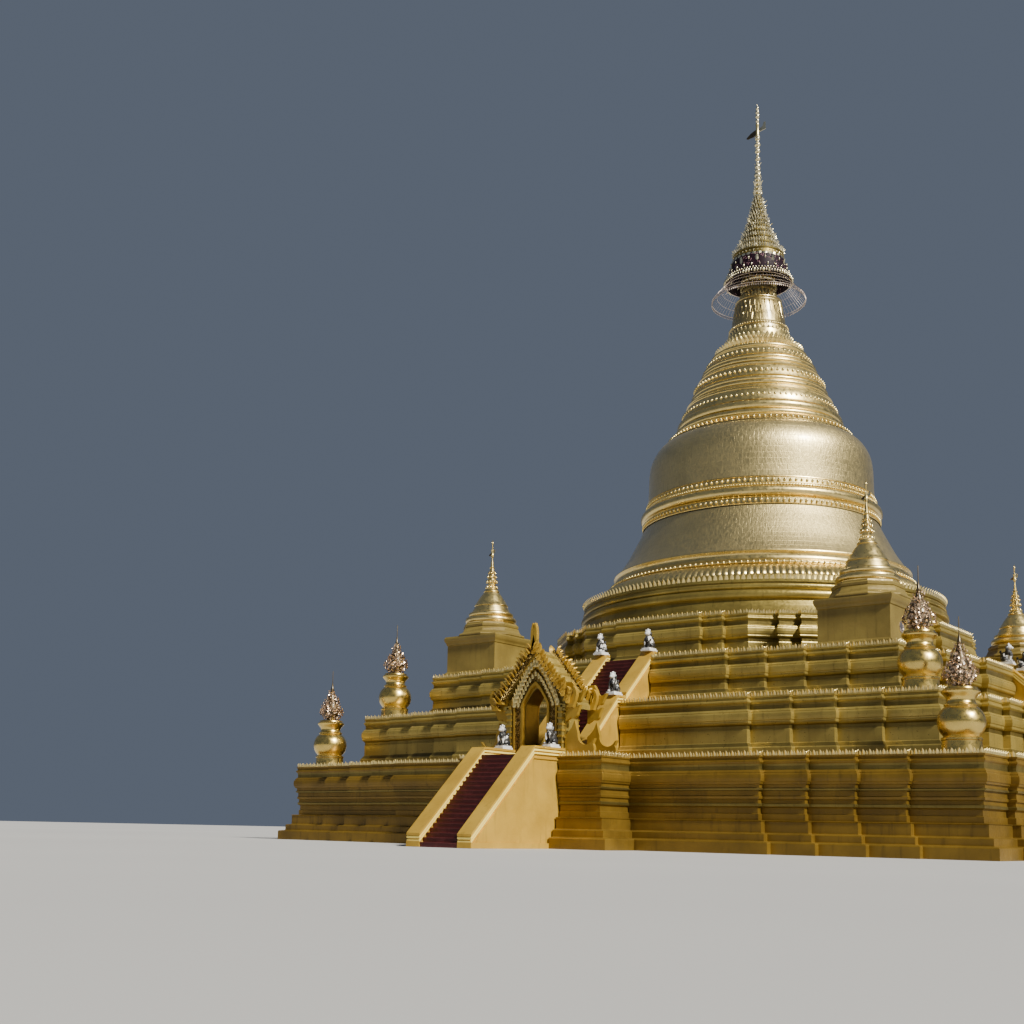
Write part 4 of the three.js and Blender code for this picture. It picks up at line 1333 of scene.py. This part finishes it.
# Jars: profiles as (radius, height above the floor), and rings of flowers as (height, radius)
JAR = [
    (0, 0.002), (1.02, 0.002), (1.02, 0.1), (0.98, 0.14), (0.96, 0.3), (0.94, 0.6), (0.94, 0.68),
    (0.97, 0.72), (0.97, 0.8), (0.92, 0.84), (0.84, 0.86), (0.86, 0.92),
    *smooth_profile([(0.95, 1.02), (1.07, 1.22), (1.13, 1.48), (1.13, 1.68), (1.06, 1.95),
                     (0.92, 2.18), (0.76, 2.32)], 3),
    (0.76, 2.35), (0.8, 2.38), (0.8, 2.43), (0.74, 2.47),
    *smooth_profile([(0.7, 2.52), (0.67, 2.64), (0.71, 2.78), (0.83, 2.92), (0.89, 2.99)], 3),
    (0.91, 3.02), (0.91, 3.09), (0.87, 3.13), (0.8, 3.18), (0.78, 3.26), (0.72, 3.29), (0.4, 3.24),
    (0, 3.24),
]
BOUQUET_CORE = [
    (0, 3.26), (0.3, 3.26), (0.38, 3.5), (0.56, 3.8), (0.58, 4.05), (0.46, 4.4), (0.3, 4.8),
    (0.14, 5.2), (0.1, 5.4), (0.14, 5.46), (0.1, 5.52), (0.05, 5.8), (0.025, 5.95), (0.02, 6.75),
    (0, 6.8),
]
FLOWER_RINGS = (
    (3.42, 0.44), (3.58, 0.58), (3.74, 0.7), (3.9, 0.75), (4.06, 0.72), (4.22, 0.64), (4.38, 0.56),
    (4.54, 0.48), (4.7, 0.4), (4.86, 0.33), (5.02, 0.26), (5.18, 0.2), (5.32, 0.14),
)
FLOWER_PITCH, FEWEST_FLOWERS = 0.2, 5
# Spacing longer than any of the short rows, so that each gets one flower
ONE_EACH = 5.0


def raised(profile, floor):
    return [(r, z + floor) for r, z in profile]


def bouquet_rows(cx, cy, floor, seed):
    """One short row per flower, in rings round a cone, each flower turned and nudged a little."""
    draw = np.random.default_rng(seed)
    rows = []
    for z, r in FLOWER_RINGS:
        count = max(int(round(2 * math.pi * r / FLOWER_PITCH)), FEWEST_FLOWERS)
        start = draw.uniform(0, 2 * math.pi)
        flowers = []
        for i in range(count):
            a = start + 2 * math.pi * i / count + draw.uniform(-0.1, 0.1)
            out = r + draw.uniform(-0.08, 0.1)
            point = (cx + out * math.cos(a), cy + out * math.sin(a), floor + z + draw.uniform(-0.07, 0.07))
            flowers.append((point, (math.cos(a), math.sin(a), 0.0)))
        for (x, y, level), way in flowers:
            row = [(x, y, level), (x + 0.001, y, level)]
            rows.append((row, [way, way], False, draw.uniform(0.8, 1.25), draw.uniform(-0.5, 0.5)))
    return rows


class STUPA_OT_jars(bpy.types.Operator):
    """Build the flower jars on the corners of the two lower terraces"""

    bl_idname = "stupa.jars"
    bl_label = "Flower jars"

    def execute(self, context):
        jars, stems, rows = [], [], []
        for level, (offset, floor) in enumerate(zip(JAR_OFFSETS, TERRACE_TOPS)):
            for k, place in enumerate(corner_places(offset)):
                jars.append(turned(raised(JAR, floor), 64, place))
                stems.append(turned(raised(BOUQUET_CORE, floor), 16, place))
                rows += bouquet_rows(*place, floor, seed=10 * level + k)
        solids = numbered("jar_1") + numbered("jar_2")
        belongs(joined("jars", jars, ["jar_gold"], SMALL_SHARP), nodes=solids)
        # The bouquet cores are nearly black: painted shade between the flowers
        belongs(joined("bouquet_stems", stems, ["dark_metal"], SMALL_SHARP))
        ornaments("bouquet_flowers", rows, flower_shape(0.11), ONE_EACH, "rose_gold")
        return {"FINISHED"}


# Umbrella: tiers as (height, radius), profiles as (radius, height)
UMBRELLA_FOOT = 44.3
UMBRELLA_TIERS = (
    (44.75, 1.88), (45.4, 1.5), (45.98, 1.26), (46.5, 1.06), (46.98, 0.9), (47.42, 0.76), (47.83, 0.66),
    (48.2, 0.57), (48.55, 0.5), (48.88, 0.43), (49.2, 0.38),
)
SKIRT = [
    (1.8, 44.32), (1.95, 44.3), (2.08, 43.9), (2.24, 43.3), (2.42, 42.85), (2.52, 42.6),
    (2.54, 42.52), (2.46, 42.5), (2.36, 42.6), (2.14, 43.25), (1.98, 43.9), (1.82, 44.28),
]
DRUM = [
    (0, NECK_TOP + GAP), (1.3, NECK_TOP + GAP), (1.34, 42.56), (1.3, 42.62), (1.24, 42.7),
    (1.24, UMBRELLA_FOOT), (0, UMBRELLA_FOOT),
]
# Rows of ornaments as (radius, height, size, lean, spread, seed), and the heights of the core's leaves
PENDANTS = ((2.2, 43.95, 1.0, math.pi - 0.16, 0.12, 60),)
DROPS = ((2.54, 42.62, 1.1, 0.0, 0.4, 61), (2.45, 42.88, 0.8, 0.0, 0.4, 62))
CHAINS = ((2.34, 43.2, 0.9, 0.0, 0.4, 63), (2.14, 43.8, 0.8, 0.0, 0.4, 64))
CORE_HEIGHTS = (41.12, 42.0, 42.66, 43.16, 43.66)
# Flowers hang in two rows below each tier, one drop apart, the second only above a height
FLOWER_DROP, LOWEST_FLOWERS = 0.26, 44.4
# Fringe: hoops as (radius, height, half thickness), and spokes from the first hoop to the last
HOOPS = ((2.42, 42.45, 0.02), (2.75, 42.05, 0.012), (3.1, 41.6, 0.012), (3.5, 41.2, 0.022))
SPOKES, SPOKE_HALF = 72, 0.007
BAR_FACES = [(0, 3, 2, 1), (4, 5, 6, 7), (0, 1, 5, 4), (1, 2, 6, 5), (2, 3, 7, 6), (3, 0, 4, 7)]


def umbrella_profile():
    """The tiers from the lowest up, each with its rim and the slope to the next one."""
    points = [(0, UMBRELLA_FOOT), (1.9, UMBRELLA_FOOT), (1.92, 44.34)]
    for (z, r), (next_z, next_r) in zip(UMBRELLA_TIERS, (*UMBRELLA_TIERS[1:], (UMBRELLA_TOP, 0.3))):
        points += [(r - 0.03, z - 0.12), (r + 0.03, z - 0.08), (r + 0.04, z), (r - 0.04, z + 0.05),
                   (0.9 * r - 0.04, z + 0.14), (next_r - 0.02, next_z - 0.16)]
    return points + [(0.3, UMBRELLA_TOP), (0, UMBRELLA_TOP)]


def fringe_parts():
    """Hoops and thin spokes below the umbrella."""
    parts = []
    for r, z, thick in HOOPS:
        hoop = [(r - thick, z), *roll(r, z - thick, z + thick, thick, 4), (r - thick, z)]
        parts.append(turned(hoop, 96))
    for i in range(SPOKES):
        angle = 2 * math.pi * i / SPOKES
        c, s = math.cos(angle), math.sin(angle)
        corners = []
        for r, z, _ in (HOOPS[0], HOOPS[-1]):
            for side, up in ((1, -1), (-1, -1), (-1, 1), (1, 1)):
                across = side * SPOKE_HALF
                corners.append(((r * c - across * s) * M, (r * s + across * c) * M,
                                (z + up * SPOKE_HALF) * M))
        parts.append((corners, BAR_FACES, 0, None))
    return parts


class STUPA_OT_crown(bpy.types.Operator):
    """Build the tiered umbrella with its hanging ornaments and the fringe"""

    bl_idname = "stupa.crown"
    bl_label = "Crown"

    def execute(self, context):
        # On the umbrella, the tiers take the darker gold as painted shade between their leaves, and the
        # skirt's near-black ground is painted shade of the hollow inside. The drum takes pale pearl gold as
        # painted light, for the sun that the solid skirt shuts off
        parts = [turned(umbrella_profile(), 64), turned(SKIRT, 64, slot=1), turned(DRUM, 48, slot=2)]
        umbrella = joined("umbrella_tiers", parts, ["shaded_gold", "dark_jewels", "pearl_gold"], SMALL_SHARP)
        belongs(umbrella, nodes=("umbrella",))
        leaves, sprigs, flowers = [], [], []
        for i, (z, r) in enumerate(UMBRELLA_TIERS):
            for k in (0, 1):
                leaves.append(uneven_row(r - 0.03 - 0.02 * k, z - 0.04 + 0.17 * k, 0.5 + 0.14 * r, -0.16,
                                         0.25, 7 * i + k))
                drop = FLOWER_DROP * (k + 1)
                if k == 0 or z - drop > LOWEST_FLOWERS:
                    flowers.append(uneven_row(r + 0.03, z - drop, 0.8, 0.0, 0.25, 40 + i))
            if i > 0:
                sprigs.append(uneven_row(r + 0.02, z - 0.04, 1.0, -0.75, 0.35, 19 + i))
        lambrequin = [circle_row(1.98, UMBRELLA_FOOT, lean=math.pi, points=64)]
        core = [uneven_row(1.28, z, 0.9, -0.08, 0.12, 70 + i) for i, z in enumerate(CORE_HEIGHTS)]
        # Leaves are given by width, height, bulge and curl, beads by radius and stretch
        for name, rows, shape, spacing, finish, smooth in (
            ("leaves", leaves, leaf_shape(0.17, 0.4, 0.06, 0.1), 0.19, "pearl_gold", None),
            ("sprigs", sprigs, leaf_shape(0.09, 0.36, 0.03, 0.02), 1.5, "pearl_gold", None),
            ("flowers", flowers, flower_shape(0.09), 0.3, "pearl_gold", None),
            ("lambrequin", lambrequin, leaf_shape(0.4, 0.68, 0.08, 0.05), 0.42, "pearl_gold", None),
            ("core_leaves", core, leaf_shape(0.26, 0.62, 0.09, 0.04), 0.27, "brass_leaf", None),
            ("pendants", uneven_rows(PENDANTS), leaf_shape(0.26, 1.05, 0.1, -0.1), 1.25, "pearl_gold", None),
            ("drops", uneven_rows(DROPS), bead_shape(0.07, 1.8), 0.22, "pearl_gold", BEAD_SHARP),
            ("chains", uneven_rows(CHAINS), bead_shape(0.06, 2.2), 0.62, "pearl_gold", BEAD_SHARP),
        ):
            ornaments("umbrella_" + name, rows, shape, spacing, finish, smooth)
        fringe = joined("fringe_hoops", fringe_parts(), ["pale_silver"], TOWER_SHARP)
        belongs(fringe, nodes=("umbrella_fringe",))
        bell = bead_shape(0.045, stretch=1.9, around=6, up=3)
        ornaments("fringe_bells", [circle_row(3.5, 41.05)], bell, 0.16, "pale_silver")
        return {"FINISHED"}


# Finial: beads from the umbrella up as (radius, height), then those over the vane as (foot, radius, height)
ROD = 0.07
BEADS_FOOT, BEAD_GAP = 49.82, 0.03
LEAF_ROWS = 8
FINIAL_BEADS = (
    (0.36, 0.34), (0.31, 0.3), (0.32, 0.34), (0.26, 0.3), (0.27, 0.36), (0.2, 0.3), (0.21, 0.34),
    (0.13, 0.24), (0.19, 0.32), (0.12, 0.26), (0.22, 0.26), (0.16, 0.2), (0.24, 0.28), (0.14, 0.2),
    (0.2, 0.24),
)
TOP_BEADS = ((55.75, 0.14, 0.3), (56.1, 0.17, 0.32), (56.46, 0.15, 0.3), (56.8, 0.12, 0.24))
COLLAR, COLLAR_FOOT = 0.182, VANE_HEIGHT - 0.07
# Vanes: outlines as shares of width and height, then the radius of the rod, width and height
VANE_TAIL = [(-0.58, 0.1), (-0.5, 0.0), (-0.2, 0.04), (-0.02, 0.16), (-0.02, 0.56), (-0.3, 0.42),
             (-0.46, 0.26)]
VANE_HEAD = [(0.02, 0.24), (0.08, 0.3), (0.42, 0.4), (0.42, 0.95), (0.33, 0.97), (0.26, 0.66),
             (0.02, 0.54)]
VANE, CORNER_VANE = (ROD, 1.65, 1.05), (0.04, 0.55, 0.45)
PLATE_HALF = 0.02


def finial_profile():
    """The beaded rod up to its bud, with the collar that the vane turns on."""
    rod = [(0, UMBRELLA_TOP + GAP), (0.3, UMBRELLA_TOP + GAP), (0.32, 49.7), (0.2, 49.78)]
    z = BEADS_FOOT
    for radius, height in FINIAL_BEADS:
        rod += roll(ROD, z, z + height, radius - ROD, 6)
        z += height + BEAD_GAP
    rod += [(ROD, COLLAR_FOOT - 0.05), (COLLAR, COLLAR_FOOT), (COLLAR, VANE_HEIGHT), (ROD, VANE_HEIGHT),
            (ROD, 55.72)]
    for z, radius, height in TOP_BEADS:
        rod += roll(0.05, z, z + height, radius - 0.05, 5)
    return rod + [(0.03, 57.08), (0.03, 57.2), (0, BUD_TIP)]


def vane_parts(place, level, rod, width, height):
    """A sleeve round the rod and the two halves of the plate, each in its own slot."""
    inner, outer = rod + 0.012, rod + 0.05
    sleeve = [(inner, GAP), (outer, GAP), (outer * 1.2, height * 0.1), (outer, height * 0.2),
              (outer, height * 0.85), (outer * 1.2, height * 0.92), (outer, height), (inner, height),
              (inner, GAP)]
    parts = [turned(raised(sleeve, level), 20, place)]
    for slot, outline in ((1, VANE_TAIL), (2, VANE_HEAD)):
        points = [(math.copysign(max(abs(x * width), inner + 0.01), x), z * height) for x, z in outline]
        vertices, faces = moved(prism(points, -PLATE_HALF, PLATE_HALF, Y), (*place, level))
        parts.append(([tuple(c * M for c in v) for v in vertices], faces, slot, None))
    return parts


class STUPA_OT_finial(bpy.types.Operator):
    """Build the beaded rod, its bud and the vanes"""

    bl_idname = "stupa.finial"
    bl_label = "Finial"

    def execute(self, context):
        finial = joined("finial_beads", [turned(finial_profile(), 24)], ["pearl_gold"], TOWER_SHARP)
        belongs(finial, nodes=("finial",))
        # Rows of leaves up the rod, each narrower and smaller than the one below
        rows = [uneven_row(0.3 - 0.018 * i, 49.8 + 0.4 * i, 0.8 - 0.04 * i, -0.2, 0.3, 80 + i)
                for i in range(LEAF_ROWS)]
        leaf = leaf_shape(width=0.16, height=0.34, bulge=0.04, curl=0.06)
        ornaments("finial_leaves", rows, leaf, 0.26, "pearl_gold")
        vanes = [("vane", (0, 0), VANE_HEIGHT, VANE)]
        for name, place in zip(numbered("corner_vane"), corner_places(CORNER_OFFSET)):
            vanes.append((name, place, CORNER_VANE_HEIGHT, CORNER_VANE))
        for name, place, level, sizes in vanes:
            vane = joined_outward(name + "_plate", vane_parts(place, level, *sizes),
                                  ["leaf_gold", "dark_metal", "pearl_gold"], TOWER_SHARP)
            belongs(vane, name, (name,))
        return {"FINISHED"}


# Stage: camera, floor in model metres, key light and sky
CAMERA_PLACE = (42.404, -82.821, 0.926)
CAMERA_HEADING, CAMERA_PITCH, CAMERA_ROLL = 38.374, 7.679, -1.198
CAMERA_SENSOR, CAMERA_LENS, CAMERA_RISE = 36, 44.28, 0.145
CAMERA_NEAR, CAMERA_FAR = 0.5, 2000
FLOOR_HALF, FLOOR_DROP = 400, 0.002
KEY_AZIMUTH, KEY_ELEVATION = 80, 40
KEY_ENERGY, KEY_SPREAD, KEY_COLOUR = 7.0, 5, (1.0, 0.97, 0.89)
SKY_COLOUR, SKY_STRENGTH = (0.5, 0.6, 0.8, 1), 0.21


def camera_matrix():
    """Place and turn of the camera from its heading, pitch and roll in degrees."""
    heading, pitch, roll_angle = map(math.radians, (CAMERA_HEADING, CAMERA_PITCH, CAMERA_ROLL))
    right = Vector((math.cos(heading), math.sin(heading), 0))
    ahead = Vector((-math.sin(heading), math.cos(heading), 0))
    forward = ahead * math.cos(pitch) + Vector((0, 0, 1)) * math.sin(pitch)
    up = Vector((0, 0, 1)) * math.cos(pitch) - ahead * math.sin(pitch)
    across = right * math.cos(roll_angle) - up * math.sin(roll_angle)
    above = up * math.cos(roll_angle) + right * math.sin(roll_angle)
    turn = Matrix((across, above, -forward)).transposed().to_4x4()
    return Matrix.Translation(Vector(CAMERA_PLACE) * M) @ turn


class STUPA_OT_stage(bpy.types.Operator):
    """Set the camera, a pale floor and soft studio light"""

    bl_idname = "stupa.stage"
    bl_label = "Stage"

    def execute(self, context):
        scene = context.scene
        camera = bpy.data.cameras.new("Camera")
        camera.sensor_width = CAMERA_SENSOR
        camera.lens = CAMERA_LENS
        camera.shift_y = CAMERA_RISE
        camera.clip_start, camera.clip_end = CAMERA_NEAR, CAMERA_FAR
        scene.camera = shown("Camera", camera)
        scene.camera.matrix_world = camera_matrix()

        corners = [(x, y, 0) for x, y in square_outline(FLOOR_HALF)]
        floor = new_piece("floor", corners, [(0, 1, 2, 3)], ["pale_floor"])
        floor.location.z = -FLOOR_DROP

        light = bpy.data.lights.new("key_light", "SUN")
        light.energy = KEY_ENERGY
        light.angle = math.radians(KEY_SPREAD)
        light.color = KEY_COLOUR
        azimuth, elevation = math.radians(KEY_AZIMUTH), math.radians(KEY_ELEVATION)
        towards = Vector((math.sin(azimuth) * math.cos(elevation),
                          -math.cos(azimuth) * math.cos(elevation), math.sin(elevation)))
        shown("key_light", light).rotation_euler = towards.to_track_quat("Z", "Y").to_euler()

        scene.world = scene.world or bpy.data.worlds.new("World")
        scene.world.use_nodes = True
        sky = scene.world.node_tree.nodes["Background"]
        sky.inputs["Color"].default_value = SKY_COLOUR
        sky.inputs["Strength"].default_value = SKY_STRENGTH
        return {"FINISHED"}


# Settings
class StupaColours(bpy.types.PropertyGroup):
    """Colours of the gilding and paint"""

    plaster_gold: bpy.props.FloatVectorProperty(
        name="Gold paint", description="Gold paint on the plastered terraces",
        subtype="COLOR", size=3, min=0, max=1, default=(0.46, 0.345, 0.085))
    plate_gold: bpy.props.FloatVectorProperty(
        name="Gold plates", description="Thin gold plates of the bell",
        subtype="COLOR", size=3, min=0, max=1, default=(0.8, 0.63, 0.27))
    ring_gold: bpy.props.FloatVectorProperty(
        name="Ring gold", description="Smooth gold of the rolls and rings",
        subtype="COLOR", size=3, min=0, max=1, default=(0.83, 0.64, 0.24))
    leaf_gold: bpy.props.FloatVectorProperty(
        name="Leaf gold", description="Pale bright gold of leaves and stones",
        subtype="COLOR", size=3, min=0, max=1, default=(0.96, 0.77, 0.32))
    jar_gold: bpy.props.FloatVectorProperty(
        name="Jar gold", description="Polished gold of the jars",
        subtype="COLOR", size=3, min=0, max=1, default=(0.78, 0.57, 0.16))
    tread_red: bpy.props.FloatVectorProperty(
        name="Tread red", description="Dark red paint on the steps",
        subtype="COLOR", size=3, min=0, max=1, default=(0.1, 0.012, 0.012))


class StupaSizes(bpy.types.PropertyGroup):
    """Sizes of the ornaments, in metres on the full-size building"""

    leaf_pitch: bpy.props.FloatProperty(
        name="Leaf pitch", description="Distance from one large leaf to the next",
        unit="LENGTH", min=0.1, max=2.0, default=0.36)
    leaf_height: bpy.props.FloatProperty(
        name="Leaf height", description="Height of a large leaf",
        unit="LENGTH", min=0.05, max=1.0, default=0.33)
    facets: bpy.props.IntProperty(
        name="Facets", description="Facets round the large turned pieces",
        min=32, max=512, default=192)


class STUPA_PT_panel(bpy.types.Panel):
    """Sidebar panel with the settings and one button for each step"""

    bl_label = "Gilded stupa"
    bl_idname = "STUPA_PT_panel"
    bl_space_type = "VIEW_3D"
    bl_region_type = "UI"
    bl_category = "Stupa"

    def draw(self, context):
        layout = self.layout
        for group in (context.scene.stupa_sizes, context.scene.stupa_colours):
            for key in group.__annotations__:
                layout.prop(group, key)
        for step in STEPS:
            layout.operator(step.bl_idname)


STEPS = (
    STUPA_OT_terraces, STUPA_OT_leaf_rows, STUPA_OT_stairs, STUPA_OT_gates, STUPA_OT_lions,
    STUPA_OT_tower, STUPA_OT_tower_rows, STUPA_OT_crown, STUPA_OT_finial, STUPA_OT_corner_stupas,
    STUPA_OT_jars, STUPA_OT_stage,
)
CLASSES = (StupaColours, StupaSizes, *STEPS, STUPA_PT_panel)


def register():
    for cls in CLASSES:
        bpy.utils.register_class(cls)
    bpy.types.Scene.stupa_sizes = bpy.props.PointerProperty(type=StupaSizes)
    bpy.types.Scene.stupa_colours = bpy.props.PointerProperty(type=StupaColours)


def unregister():
    del bpy.types.Scene.stupa_colours
    del bpy.types.Scene.stupa_sizes
    for cls in reversed(CLASSES):
        bpy.utils.unregister_class(cls)


def main():
    register()
    for step in STEPS:
        group, name = step.bl_idname.split(".")
        getattr(getattr(bpy.ops, group), name)()


if __name__ == "__main__":
    main()
